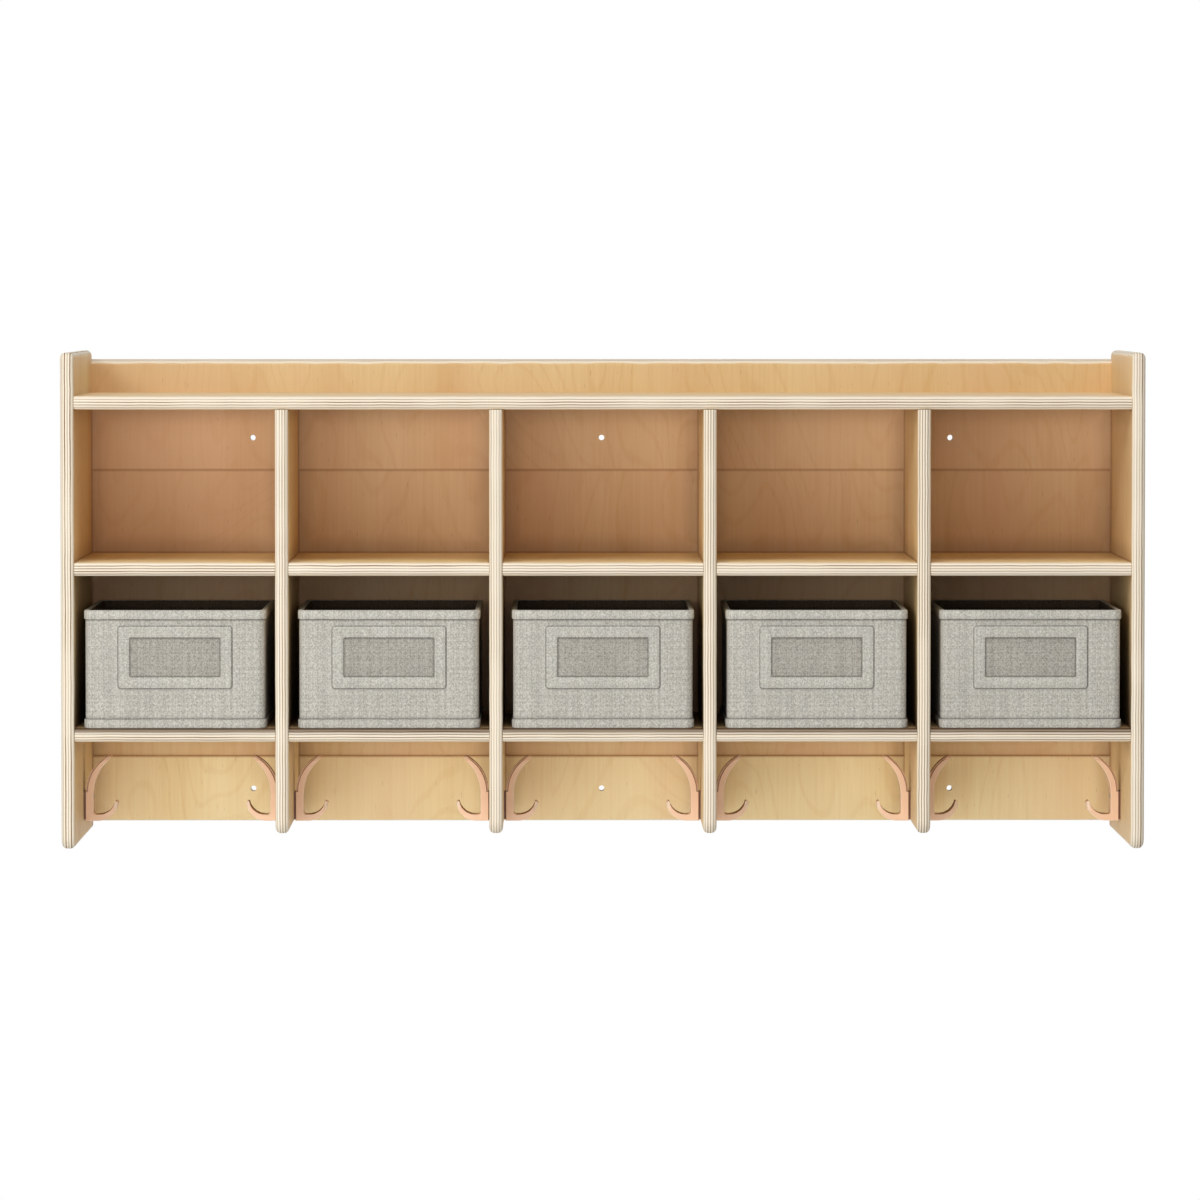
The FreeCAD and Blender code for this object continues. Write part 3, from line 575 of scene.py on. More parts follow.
# %% Plywood on every board
# the uprights, the middle shelves and the lower back rail get painted light in their veneer
uprights = ["side_panel_left", "side_panel_right"] + [f"divider_{number}" for number in range(1, 5)]
dress(plywood("plywood upright", uprights[0], "X", "Z", board=1.0, repeats=True, pale=0.3), *uprights)
dress(plywood("plywood top shelf", "top_shelf", "Z", "X", board=21.0), "top_shelf")
SHELVES = {"middle": {"board": 31.0, "pale": 1.0}, "lower": {"board": 41.0, "bin_shadow": True}}
for level, look in SHELVES.items():
    shelves = [f"{level}_shelf_{section}" for section in SECTIONS]
    dress(plywood(f"plywood {level} shelf", shelves[0], "Z", "X", repeats=True, **look), *shelves)
BACK = {"upper_back_rail": (51.0, 0.0), "back_panel": (61.0, 0.0), "lower_back_rail": (71.0, 1.0)}
for name, (board, pale) in BACK.items():
    dress(plywood(f"plywood {name.replace('_', ' ')}", name, "Y", "Z", board, pale=pale), name)
print("plywood finishes:", sum(made.name.startswith("plywood") for made in bpy.data.materials))

# %% [markdown]
# ## Moulded hooks
# The hooks are one satin plastic in a warm tan. Moulding leaves a very fine texture and slow
# changes of gloss. Their front edges carry a painted highlight, while the surfaces that face up or
# towards the board, and the rib next to the board, carry painted shade in a deeper brown. So the
# finish also looks at which way the surface faces and how far the board is.

# %% Hook plastic
HOOK_TAN = screen_colour(249, 208, 173)
HOOK_DEEP = screen_colour(240, 197, 161)
# painted shade on the surfaces that face up or towards the board, and painted shadow on the rib next to the
# board
HOOK_SHADE = screen_colour(136, 82, 50)
# painted highlight on the rounded front edges
HOOK_HIGHLIGHT = screen_colour(255, 229, 202)
RIB_FROM, RIB_TO = 0.0020, 0.0026
TO_BOARD, UPWARD = 0.9, 0.55

hook_plastic, tree, shader = new_material("hook plastic")
place = object_place(tree)
in_bay = place_in_bay(tree, split(tree, place))
right_hand = calc(tree, "GREATER_THAN", in_bay, (pitch + board_thickness) / 2)
facing = split(tree, add_node(tree, "ShaderNodeNewGeometry").outputs["Normal"])
to_board = calc(tree, "MULTIPLY", facing[0], span(tree, right_hand, -1.0, 1.0))
to_board = calc(tree, "MULTIPLY_ADD", to_board, TO_BOARD, calc(tree, "MULTIPLY", facing[2], UPWARD))
off_board = gap(tree, in_bay, board_thickness, pitch)
# painted shadow next to the board
rib = fall(tree, off_board, RIB_FROM, RIB_TO)
flank_shade = calc(tree, "MAXIMUM", rise(tree, to_board, 0.3, 0.75), rib)
# painted highlight where the surface turns from the front to the side
forward = calc(tree, "MULTIPLY", facing[1], -1.0)
edge_highlight = calc(tree, "SUBTRACT", rise(tree, forward, 0.05, 0.35), rise(tree, forward, 0.85, 0.98))
colour = blend(tree, cloud(tree, place, scale=60), HOOK_DEEP, HOOK_TAN)
colour = blend(tree, edge_highlight, colour, HOOK_HIGHLIGHT)
set_shader(tree, shader, {
    "Base Color": blend(tree, flank_shade, colour, HOOK_SHADE),
    "Roughness": span(tree, cloud(tree, place, scale=240), 0.34, 0.46),
    "Specular IOR Level": 0.5,
})
emboss(tree, shader, cloud(tree, place, scale=2600), distance=0.00006, strength=0.4)
hooks = [f"coat_hook_{section}_{side}" for section in SECTIONS for side in ("left", "right")]
dress(hook_plastic, *hooks)
print("hooks:", len(hooks))

# %% [markdown]
# ## Dowels
# The dowels are turned beech. They are hidden in their holes once the case is glued, but a viewer
# who takes the model apart will find them, so they get a grain along their length: noise with few
# changes along the dowel and many across it.

# %% Dowel wood
DOWEL_PALE = screen_colour(226, 192, 148)
DOWEL_DEEP = screen_colour(196, 152, 106)
PORES_ALONG, PORES_ACROSS = 30, 900


def dowel_wood(name, along):
    """Beech with its pores drawn out along one axis."""
    material, tree, shader = new_material(name)
    place = split(tree, object_place(tree))
    scales = [PORES_ALONG if axis == along else PORES_ACROSS for axis in AXES]
    where = vector(tree, *(calc(tree, "MULTIPLY", part, scale) for part, scale in zip(place, scales)))
    pores = cloud(tree, where, detail=3.0)
    set_shader(tree, shader, {
        "Base Color": blend(tree, rise(tree, pores, 0.3, 0.7), DOWEL_DEEP, DOWEL_PALE),
        "Roughness": span(tree, pores, 0.5, 0.65),
    })
    emboss(tree, shader, pores, distance=0.0002, strength=0.4)
    return material


dress(dowel_wood("dowel wood lying", "X"), "shelf_dowels")
dress(dowel_wood("dowel wood standing", "Z"), "top_dowels")
print("dowels dressed")

# %% [markdown]
# ## Screws
# Three kinds of screw hold the locker together: cross-head screws in the hooks and in the back,
# and connecting screws with a hexagon socket in the sides. One lathe function turns them all. Its
# rings share the angles of the socket's corners, so the socket is cut into the head with no
# boolean. A Geometry Nodes tree then sets a screw in every hole and turns each by a random angle,
# as screws end up in practice.

# %% Screw metal
ZINC = screen_colour(196, 194, 188)
ZINC_DULL = screen_colour(160, 158, 154)

screw_metal, tree, shader = new_material("zinc screw")
place = object_place(tree)
patches = rise(tree, cloud(tree, place, detail=3.0, scale=700), 0.35, 0.65)
set_shader(tree, shader, {
    "Base Color": blend(tree, patches, ZINC_DULL, ZINC),
    "Roughness": span(tree, patches, 0.42, 0.30),
    "Metallic": 1.0,
})
emboss(tree, shader, cloud(tree, place, scale=5000), distance=0.00003, strength=0.5)
print("screw metal ready")

# %% Screw sockets
def cross_outline(reach, arm):
    """Corners of a cross socket as (angle, radius), four arms of that reach and width."""
    half = math.atan2(arm / 2, reach)
    corners = []
    for quarter in range(4):
        turn = quarter * math.pi / 2
        corners += [
            (turn - half, math.hypot(reach, arm / 2)), (turn, reach),
            (turn + half, math.hypot(reach, arm / 2)), (turn + math.pi / 4, arm / math.sqrt(2)),
        ]
    return corners


def hexagon_outline(flats):
    """Corners and mid-sides of a hexagon socket, that far across its flats."""
    corner = flats / math.sqrt(3)
    return [(step * math.pi / 6, flats / 2 if step % 2 else corner) for step in range(12)]


SMALL_CROSS = cross_outline(reach=0.0019, arm=0.0008)
LARGE_CROSS = cross_outline(reach=0.0023, arm=0.0010)
HEXAGON = hexagon_outline(flats=0.004)
print("corners and mid-sides:", [len(outline) for outline in (SMALL_CROSS, LARGE_CROSS, HEXAGON)])

# %% Screw shapes
BEVEL = 0.0003
SOCKET_TAPER = 0.72
SOCKET_TIP = 1.15


def circle_point(angle, radius, depth):
    """A point on a ring, that deep under the top of the head."""
    return (radius * math.cos(angle), radius * math.sin(angle), -depth)


def turn_screw(name, socket, socket_depth, profile):
    """A screw along -Z with its head on Z = 0; profile is its (radius, depth) from the head's rim."""
    maker = bmesh.new()
    rings = [
        [circle_point(angle, radius * SOCKET_TAPER, socket_depth) for angle, radius in socket],
        [circle_point(angle, radius, 0.0) for angle, radius in socket],
    ]
    rings += [[circle_point(angle, radius, depth) for angle, _ in socket] for radius, depth in profile]
    rows = [[maker.verts.new(point) for point in ring] for ring in rings]
    round_it = [(i, (i + 1) % len(socket)) for i in range(len(socket))]
    for inner, outer in zip(rows, rows[1:]):
        for i, j in round_it:
            maker.faces.new((inner[i], outer[i], outer[j], inner[j]))
    end_radius, end_depth = profile[-1]
    bottom = maker.verts.new((0, 0, -socket_depth * SOCKET_TIP))
    point = maker.verts.new((0, 0, -end_depth - end_radius))
    for i, j in round_it:
        maker.faces.new((bottom, rows[0][i], rows[0][j]))
        maker.faces.new((point, rows[-1][j], rows[-1][i]))
    mesh = bpy.data.meshes.new(name)
    maker.to_mesh(mesh)
    maker.free()
    return add_object(name, mesh)


def countersunk(head, shank, sunk, length):
    """Profile of a wood screw: radius of its head and shank, depth of its cone and its end."""
    return [(head - BEVEL, 0.0), (head, BEVEL), (shank, sunk), (shank, length)]


def connecting(head, head_height, sleeve, sleeve_end, shank, length):
    """Profile of a connecting screw, with a flat head and a sleeve over its shank."""
    return [(head - BEVEL, 0.0), (head, BEVEL), (head, head_height), (sleeve, head_height),
            (sleeve, sleeve_end), (shank, sleeve_end), (shank, length)]


hook_screw = turn_screw("hook screw", SMALL_CROSS, socket_depth=0.0014, profile=countersunk(
    head=0.0035, shank=0.00175, sunk=0.0024, length=0.0128))
back_screw = turn_screw("back screw", LARGE_CROSS, socket_depth=0.0017, profile=countersunk(
    head=0.004, shank=0.002, sunk=0.0025, length=0.041))
side_screw = turn_screw("side screw", HEXAGON, socket_depth=0.0024, profile=connecting(
    head=0.005, head_height=0.003, sleeve=0.0035, sleeve_end=0.015, shank=0.0025, length=0.0475))
print("screw faces:", [len(screw.data.polygons) for screw in (hook_screw, back_screw, side_screw)])

# %% Screw tree
def tree_input(tree, name, kind):
    """Add a named input to a tree; a modifier knows it by its identifier."""
    return tree.interface.new_socket(name, in_out="INPUT", socket_type=kind).identifier


def new_geometry_tree(name, inputs):
    """A Geometry Nodes tree, the identifiers of its named inputs, and what its input node gives."""
    tree = bpy.data.node_groups.new(name, "GeometryNodeTree")
    tree_input(tree, "Geometry", "NodeSocketGeometry")
    tree.interface.new_socket("Geometry", in_out="OUTPUT", socket_type="NodeSocketGeometry")
    identifiers = {socket: tree_input(tree, socket, kind) for socket, kind in inputs.items()}
    return tree, identifiers, tree.nodes.new("NodeGroupInput").outputs


def finish_tree(tree, instances, material):
    """Realize the instances, set their material and lead them out."""
    realize = add_node(tree, "GeometryNodeRealizeInstances", [instances])
    paint = add_node(tree, "GeometryNodeSetMaterial", {"Geometry": realize.outputs[0], "Material": material})
    add_node(tree, "NodeGroupOutput", [paint.outputs[0]])
    print(f"{tree.name}:", len(tree.nodes), "nodes")


MOST, RANDOM_NUMBER = 3, 1
screw_tree, screw_inputs, given = new_geometry_tree("screws in their holes", {
    "Screw": "NodeSocketObject", "Material": "NodeSocketMaterial", "Seed": "NodeSocketInt",
})
shape = add_node(screw_tree, "GeometryNodeObjectInfo", {"Object": given["Screw"]})
outward = add_node(screw_tree, "GeometryNodeInputNamedAttribute", {"Name": "outward"},
                   data_type="FLOAT_VECTOR")
facing = add_node(screw_tree, "FunctionNodeAlignRotationToVector", {"Vector": outward.outputs[0]}, axis="Z")
chance = add_node(screw_tree, "FunctionNodeRandomValue", {MOST: math.tau, "Seed": given["Seed"]},
                  data_type="FLOAT")
twist = add_node(screw_tree, "FunctionNodeAxisAngleToRotation", {"Angle": chance.outputs[RANDOM_NUMBER]})
turned = add_node(screw_tree, "FunctionNodeRotateRotation", [facing.outputs[0], twist.outputs[0]],
                  rotation_space="LOCAL")
put = add_node(screw_tree, "GeometryNodeInstanceOnPoints", {
    "Points": given["Geometry"], "Instance": shape.outputs["Geometry"], "Rotation": turned.outputs[0],
})
finish_tree(screw_tree, put.outputs[0], given["Material"])

# %% From a tree to a piece
def run_tree(name, source, tree, identifiers, **values):
    """What a Geometry Nodes tree makes of an object, as a new object with a plain mesh."""
    modifier = source.modifiers.new(tree.name, "NODES")
    modifier.node_group = tree
    for socket, value in values.items():
        modifier[identifiers[socket.title()]] = value
    depsgraph = bpy.context.evaluated_depsgraph_get()
    mesh = bpy.data.meshes.new_from_object(source.evaluated_get(depsgraph), depsgraph=depsgraph)
    mesh.name = name
    bpy.data.objects.remove(source)
    return add_object(name, mesh)


def hand_over(piece, body, slot, *cad_nodes):
    """Let a piece ride on its body, in place of CAD solids. slot is not used."""
    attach(piece, body)
    if cad_nodes:
        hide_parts(*cad_nodes)


print("ready to turn trees into pieces")

# %% Where the screws sit
SAME_POINT = 1e-6
SAME_END = 1e-5


def solids_of(name):
    """The separate solids of a CAD piece, each as an array of its points."""
    copy = bmesh.new()
    copy.from_mesh(nodes[name].data)
    bmesh.ops.remove_doubles(copy, verts=copy.verts, dist=SAME_POINT)
    copy.verts.ensure_lookup_table()
    seen, solids = set(), []
    for start in copy.verts:
        if start.index in seen:
            continue
        seen.add(start.index)
        reach, points = [start], []
        while reach:
            vertex = reach.pop()
            points.append(tuple(vertex.co))
            for edge in vertex.link_edges:
                other = edge.other_vert(vertex)
                if other.index not in seen:
                    seen.add(other.index)
                    reach.append(other)
        solids.append(np.array(points))
    copy.free()
    return solids


def head_of(points):
    """Centre of a screw's head and the way that it faces: the long axis, towards the wide end."""
    low, high = points.min(0), points.max(0)
    axis = int(np.argmax(high - low))
    centre = (low + high) / 2
    spread = np.linalg.norm(np.delete(points - centre, axis, 1), axis=1)
    at_top = points[:, axis] > high[axis] - SAME_END
    at_foot = points[:, axis] < low[axis] + SAME_END
    side = 1.0 if spread[at_top].max() > spread[at_foot].max() else -1.0
    centre[axis] = high[axis] if side > 0 else low[axis]
    outward = np.zeros(3)
    outward[axis] = side
    return centre, outward


print("screws in the back:", len(solids_of("back_screws")))

# %% Screws in every hole
def set_screws(name, cad_node, screw, seed):
    """Screws with real heads in place of a CAD piece's plain ones."""
    heads = [head_of(points) for points in solids_of(cad_node)]
    mesh = bpy.data.meshes.new(f"{name}_points")
    mesh.from_pydata([centre for centre, _ in heads], [], [])
    facing = mesh.attributes.new("outward", "FLOAT_VECTOR", "POINT")
    facing.data.foreach_set("vector", np.array([way for _, way in heads], np.float32).ravel())
    points = add_object(f"{name}_points", mesh)
    made = run_tree(name, points, screw_tree, screw_inputs, screw=screw, material=screw_metal, seed=seed)
    bpy.data.objects.remove(screw)
    hand_over(made, "case", "screw_steel", cad_node)
    print(name, len(heads), "screws,", len(made.data.polygons), "faces")


set_screws("hook_screw_set", "hook_screws", hook_screw, seed=3)
set_screws("back_screw_set", "back_screws", back_screw, seed=5)
set_screws("side_screw_set", "side_screws", side_screw, seed=7)

# %% [markdown]
# ## Linen weave
# The bins are covered in a grey-beige linen: plain weave with uneven yarn. Each crossing shows
# either the upright or the lying thread, so a chequer of whole-number places picks between their
# heights. Slubs, the thick and thin stretches of a yarn, are noise that is stretched along that
# yarn; from a step away they are what one sees, as short ticks both ways. A second, slower noise
# lets the shade drift between warm and cool yarn. The weave follows the piece's own UV map, which
# is laid out in metres.

# %% Weave group
SLUB_APART, SLUB_LONG = 7.3, 0.42
SLUB_SHARE = 0.86
WARP_SHARE = 0.58
WARP_SEED, WEFT_SEED, SHADE_SEED = 3.0, 8.0, 1.0

weave, at, out = new_group(
    "linen weave",
    {"Cloth": VECTOR, "Thread": FLOAT},
    {"Tone": FLOAT, "Height": FLOAT, "Cool": FLOAT},
)
cloth = split(weave, at["Cloth"])
warp_place = calc(weave, "DIVIDE", cloth[0], at["Thread"])
weft_place = calc(weave, "DIVIDE", cloth[1], at["Thread"])
warp_number = calc(weave, "FLOOR", warp_place)
weft_number = calc(weave, "FLOOR", weft_place)
over = calc(weave, "FLOORED_MODULO", calc(weave, "ADD", warp_number, weft_number), 2)


def both(first, second, share):
    """A share of the first and the rest of the second; the share may change from place to place."""
    rest = calc(weave, "MULTIPLY", second, calc(weave, "SUBTRACT", 1.0, share))
    return calc(weave, "MULTIPLY_ADD", first, share, rest)


def yarn(number, length_place, seed):
    """How light a yarn is here: its own shade, with slubs along it."""
    apart = calc(weave, "MULTIPLY", number, SLUB_APART)
    long = calc(weave, "MULTIPLY", length_place, SLUB_LONG)
    slub = cloud(weave, vector(weave, apart, long, seed), detail=1.0)
    return both(slub, dice(weave, vector(weave, number, seed, SHADE_SEED)), SLUB_SHARE)


def bulge(place):
    """Height across a yarn, round in the middle."""
    return calc(weave, "SINE", calc(weave, "MULTIPLY", calc(weave, "FRACT", place), math.pi))


warp = yarn(warp_number, weft_place, WARP_SEED)
weft = yarn(weft_number, warp_place, WEFT_SEED)
tone = both(warp, weft, WARP_SHARE)
bump = both(bulge(warp_place), bulge(weft_place), over)
feed(weave, out["Tone"], rise(weave, tone, 0.30, 0.70))
feed(weave, out["Height"], calc(weave, "MULTIPLY", bump, calc(weave, "ADD", tone, 0.5)))
feed(weave, out["Cool"], rise(weave, cloud(weave, at["Cloth"], scale=55), 0.4, 0.65))
print("weave group:", len(weave.nodes), "nodes")

# %% Fabrics
THREAD = 0.0010
LINING_THREAD = 0.0008
FOLD_SHADE_DARK = 0.6
COOL_YARN = screen_colour(247, 249, 255)
COOL_SHARE = 0.3
SHEEN = 0.15


def fabric(name, dark, pale, thread=THREAD, sheen=SHEEN):
    """Woven cloth between two shades."""
    material, tree, shader = new_material(name)
    cloth = add_node(tree, "ShaderNodeUVMap").outputs[0]
    woven = use_group(tree, weave, cloth=cloth, thread=thread)
    colour = blend(tree, woven["Tone"], screen_colour(*dark), screen_colour(*pale))
    cool = blend(tree, 1.0, colour, COOL_YARN, "MULTIPLY")
    colour = blend(tree, calc(tree, "MULTIPLY", woven["Cool"], COOL_SHARE), colour, cool)
    fade_and_fold_shade = span(tree, cloud(tree, object_place(tree), scale=22), 0.92, 1.08)
    # painted shade: the cloth is darker at hems, at the bin's foot and at the label's edges
    fold_shade = add_node(tree, "ShaderNodeAttribute", attribute_name="fold_shade").outputs["Fac"]
    fade_and_fold_shade = calc(tree, "MULTIPLY", fade_and_fold_shade, span(tree, fold_shade, 1.0, 1.0 - FOLD_SHADE_DARK))
    set_shader(tree, shader, {
        "Base Color": blend(tree, 1.0, colour, vector(tree, fade_and_fold_shade, fade_and_fold_shade, fade_and_fold_shade), "MULTIPLY"),
        "Roughness": span(tree, woven["Tone"], 0.84, 0.94),
        "Specular IOR Level": 0.2,
        "Sheen Weight": sheen,
        "Sheen Roughness": 0.5,
    })
    emboss(tree, shader, woven["Height"], distance=0.00035, strength=0.7)
    return material


bin_cloth = fabric("bin cloth", (162, 158, 147), (222, 218, 207))
band_cloth = fabric("band cloth", (168, 164, 153), (226, 223, 212))
window_cloth = fabric("label window cloth", (144, 139, 129), (201, 196, 184))
lining_cloth = fabric("lining cloth", (84, 71, 57), (118, 101, 83), LINING_THREAD, sheen=0.0)
board_cloth = fabric("base board cloth", (74, 65, 55), (102, 90, 77), LINING_THREAD, sheen=0.0)
print("fabrics ready")

# %% [markdown]
# ## The bins
# A bin is stiff board under cloth: four walls that lean in a little between their corners, a band
# folded round the foot and a binding folded over the rim. A lofted shell suits it: one plan,
# drawn as rings from the foot up, over the rim and down the inside. Each ring can then lean,
# ripple and fold as cloth does, which boxes can't.

# %% Rounded rectangles
SIDES = [(-1, 0, 0, -1), (0, -1, 1, 0), (1, 0, 0, 1), (0, 1, -1, 0)]


def rounded_rectangle(half_x, half_y, corner, steps, corner_steps, first_side=0):
    """Points, outward directions and slackness round a rounded rectangle, anticlockwise.

    Slackness is 0 at the corners, which the board holds, and 1 in the middle of a side. Each side
    is (outward x, outward y, onward x, onward y).
    """
    points, ways, slack = [], [], []
    for out_x, out_y, to_x, to_y in SIDES[first_side:] + SIDES[:first_side]:
        straight = (half_y if out_x else half_x) - corner
        for step in range(steps):
            along = straight * (2 * step / steps - 1)
            points.append((out_x * half_x + to_x * along, out_y * half_y + to_y * along))
            ways.append((out_x, out_y))
            slack.append(math.cos(along / straight * math.pi / 2) ** 2)
        centre_x = (out_x + to_x) * (half_x - corner)
        centre_y = (out_y + to_y) * (half_y - corner)
        for step in range(corner_steps):
            turn = step / corner_steps * math.pi / 2
            way_x = out_x * math.cos(turn) + to_x * math.sin(turn)
            way_y = out_y * math.cos(turn) + to_y * math.sin(turn)
            points.append((centre_x + way_x * corner, centre_y + way_y * corner))
            ways.append((way_x, way_y))
            slack.append(0.0)
    return np.array(points), np.array(ways), np.array(slack)


print("sides:", len(SIDES))

# %% Loft
def lay_cloth(faces, cloth, axes):
    """Lay a flat piece of cloth over faces, along two axes."""
    for face in faces:
        for loop in face.loops:
            loop[cloth].uv = [loop.vert.co["xyz".index(axis)] for axis in axes]


def loft(name, rows, material, flat_uv=None, closed=False, caps=(), row_shades=()):
    """A mesh through rows of points, each a closed ring; UVs are metres round and along.

    flat_uv picks two axes for a flat layout instead. closed joins the last row to the first, and
    caps names the rows that are closed by a fan. creases gives each row its painted shade, from 0
    to 1, where shade falls in a fold.
    """
    maker = bmesh.new()
    cloth = maker.loops.layers.uv.new("cloth")
    fold = maker.verts.layers.float.new("fold_shade")
    grid = [[maker.verts.new(point) for point in row] for row in rows]
    for row, depth in zip(grid, row_shades):
        for vertex in row:
            vertex[fold] = depth
    count = len(rows[0])
    steps = np.linalg.norm(np.roll(rows[0], -1, 0) - rows[0], axis=1)
    around = np.concatenate([[0.0], np.cumsum(steps)])
    gaps = [np.linalg.norm(b - a, axis=1).mean() for a, b in zip(rows, rows[1:] + rows[:1])]
    along = np.concatenate([[0.0], np.cumsum(gaps)])
    for row in range(len(rows) if closed else len(rows) - 1):
        above = (row + 1) % len(rows)
        for i in range(count):
            j = (i + 1) % count
            face = maker.faces.new((grid[row][i], grid[row][j], grid[above][j], grid[above][i]))
            corners = ((i, row), (i + 1, row), (i + 1, row + 1), (i, row + 1))
            for loop, (u, v) in zip(face.loops, corners):
                loop[cloth].uv = (around[u], along[v])
    for row in caps:
        ring = grid[row] if row else grid[row][::-1]
        hub = maker.verts.new(np.mean(rows[row], axis=0))
        fan = [maker.faces.new((ring[i], ring[(i + 1) % count], hub)) for i in range(count)]
        lay_cloth(fan, cloth, "xy")
    if flat_uv:
        lay_cloth(maker.faces, cloth, flat_uv)
    for face in maker.faces:
        face.smooth = True
    mesh = bpy.data.meshes.new(name)
    maker.to_mesh(mesh)
    maker.free()
    mesh.materials.append(material)
    return add_object(name, mesh)


def second_cloth(piece, material, *stretches):
    """Another cloth on some stretches of a piece's faces, each from its first face up to its end."""
    piece.data.materials.append(material)
    for first, end in stretches:
        for face in piece.data.polygons[first:end]:
            face.material_index = 1


print("loft ready")

# %% One bin's cloth
BIN_CORNER = 0.009
BIN_WALL = 0.003
BIN_FLOOR = 0.003
BAND_PROUD = 0.0015
BAND_HEIGHT = 0.010
WALL_STEPS = 36
CORNER_STEPS = 7
LEAN = 0.0012
RIPPLE, RIPPLES, RIPPLE_SHIFT = 0.00035, 14, 9.7
HEM_WAVE, HEM_WAVES, HEM_SHIFT = 0.00035, 40, 3.1


class Bin:
    """Where one bin stands, and how its cloth gives."""

    def __init__(self, section):
        self.section = section
        self.body = f"bin_{section}"
        self.low, self.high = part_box(f"bin_{section}_shell")
        self.rim_low, self.rim_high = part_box(f"bin_{section}_rim_band")
        self.centre = np.array(((self.low + self.high) / 2).xy)
        half = (self.high - self.low) / 2
        half_width, half_depth = half.x - BAND_PROUD, half.y - BAND_PROUD
        self.straight = half_width - BIN_CORNER
        self.plan = rounded_rectangle(half_width, half_depth, BIN_CORNER, WALL_STEPS, CORNER_STEPS)
        self.front = self.low.y + BAND_PROUD

    def give(self, x, y, z):
        """How far a wall leans in at a point in the middle of that wall."""
        up = min(max((z - self.low.z) / (self.rim_high.z - self.low.z), 0), 1)
        where = Vector((x * RIPPLES, y * RIPPLES, z * RIPPLES + self.section * RIPPLE_SHIFT))
        return LEAN * math.sin(up * math.pi) + RIPPLE * math.sin(up * math.pi) * noise.noise(where)

    def ring(self, grow, z, wave=0.0):
        """One ring of points, moved out by grow; a hem's height may wave."""
        points, ways, slack = self.plan
        made = []
        for point, way, free in zip(points + self.centre, ways, slack):
            lean = self.give(point[0], point[1], z) * free
            x, y = point + way * (grow - lean)
            where = Vector((x * HEM_WAVES, y * HEM_WAVES, z * HEM_WAVES + self.section * HEM_SHIFT))
            made.append((x, y, z + wave * noise.noise(where)))
        return np.array(made)

    def front_shift(self, x, z):
        """The lean of the front wall at a place on it."""
        free = math.cos((x - self.centre[0]) / self.straight * math.pi / 2) ** 2
        return self.give(x, self.front, z) * free


bins = [Bin(section) for section in SECTIONS]
print("bin size:", [round(s, 4) for s in bins[0].high - bins[0].low])

# %% Shell with its foot band
WALL_SHARES = np.linspace(0.05, 0.95, 20)
LINING_SHARES = np.linspace(0.97, 0.02, 16)
TOP_ROUND = 0.0004
FLOOR_FILLET = 0.0005
# painted shade in the cloth just above and below each band: (distance from its hem, how dark)
FOLD_SHADE_REACH = ((0.0003, 1.0), (0.0014, 0.45), (0.0030, 0.0))


def make_shell(bin_):
    """Rows are (out from the wall, height, wave of the hem), and folds gives each row its painted shade."""
    foot, wall_top = bin_.low.z, bin_.high.z
    hem, rim = foot + BAND_HEIGHT, bin_.rim_high.z - BAND_HEIGHT
    outside = [
        (BAND_PROUD - 0.0012, foot, 0), (BAND_PROUD - 0.0004, foot + 0.0003, 0),
        (BAND_PROUD, foot + 0.0011, 0), (BAND_PROUD, foot + 0.005, 0),
        (BAND_PROUD, hem - 0.0008, HEM_WAVE), (BAND_PROUD - 0.0003, hem - 0.0002, HEM_WAVE),
        (BAND_PROUD - 0.0008, hem, HEM_WAVE), (0.0, hem - 0.0001, HEM_WAVE),
    ]
    # painted shade at the foot, where the bin meets the shelf, and under the band's hem
    fold_shading = [0.3, 0.15, 0, 0, 0, 0.1, 0.5, 1.0]
    outside += [(0.0, hem + reach, 0) for reach, _ in FOLD_SHADE_REACH]
    outside += [(0.0, hem + share * (rim - hem), 0) for share in WALL_SHARES]
    outside += [(0.0, rim - reach, 0) for reach, _ in reversed(FOLD_SHADE_REACH)]
    fold_shade_depths = [depth for _, depth in FOLD_SHADE_REACH]
    fold_shading += fold_shade_depths + [0] * len(WALL_SHARES) + fold_shade_depths[::-1]
    over = [(-TOP_ROUND, wall_top, 0), (TOP_ROUND - BIN_WALL, wall_top, 0)]
    floor = foot + BIN_FLOOR
    inside = [(-BIN_WALL, floor + share * (wall_top - floor), 0) for share in LINING_SHARES]
    inside.append((-BIN_WALL - FLOOR_FILLET, floor, 0))
    rows = [bin_.ring(*place) for place in outside + over + inside]
    caps = (0, len(rows) - 1)
    shell = loft(f"{bin_.body}_cloth_shell", rows, bin_cloth, caps=caps, row_shades=fold_shading)
    count = len(rows[0])
    wall_faces = (len(rows) - 1) * count
    lining = ((len(outside) + 1) * count, wall_faces)
    second_cloth(shell, lining_cloth, lining, (wall_faces + count, None))
    hand_over(shell, bin_.body, "bin_fabric", f"{bin_.body}_shell")
    return shell


shells = [make_shell(bin_) for bin_ in bins]
print("shell faces:", len(shells[0].data.polygons))

# %% [markdown]
# ### Rim binding
# A folded strip caps the rim: down the outside, over the board and down the inside, which takes the
# dark lining cloth as painted shade. Its section is a closed loop, so the loft joins the last row to the
# first.

# %% Rim binding
BAND_FIT = 0.0002
RIM_CAP = 0.0015
SHADED_FLAP_ROW = 9


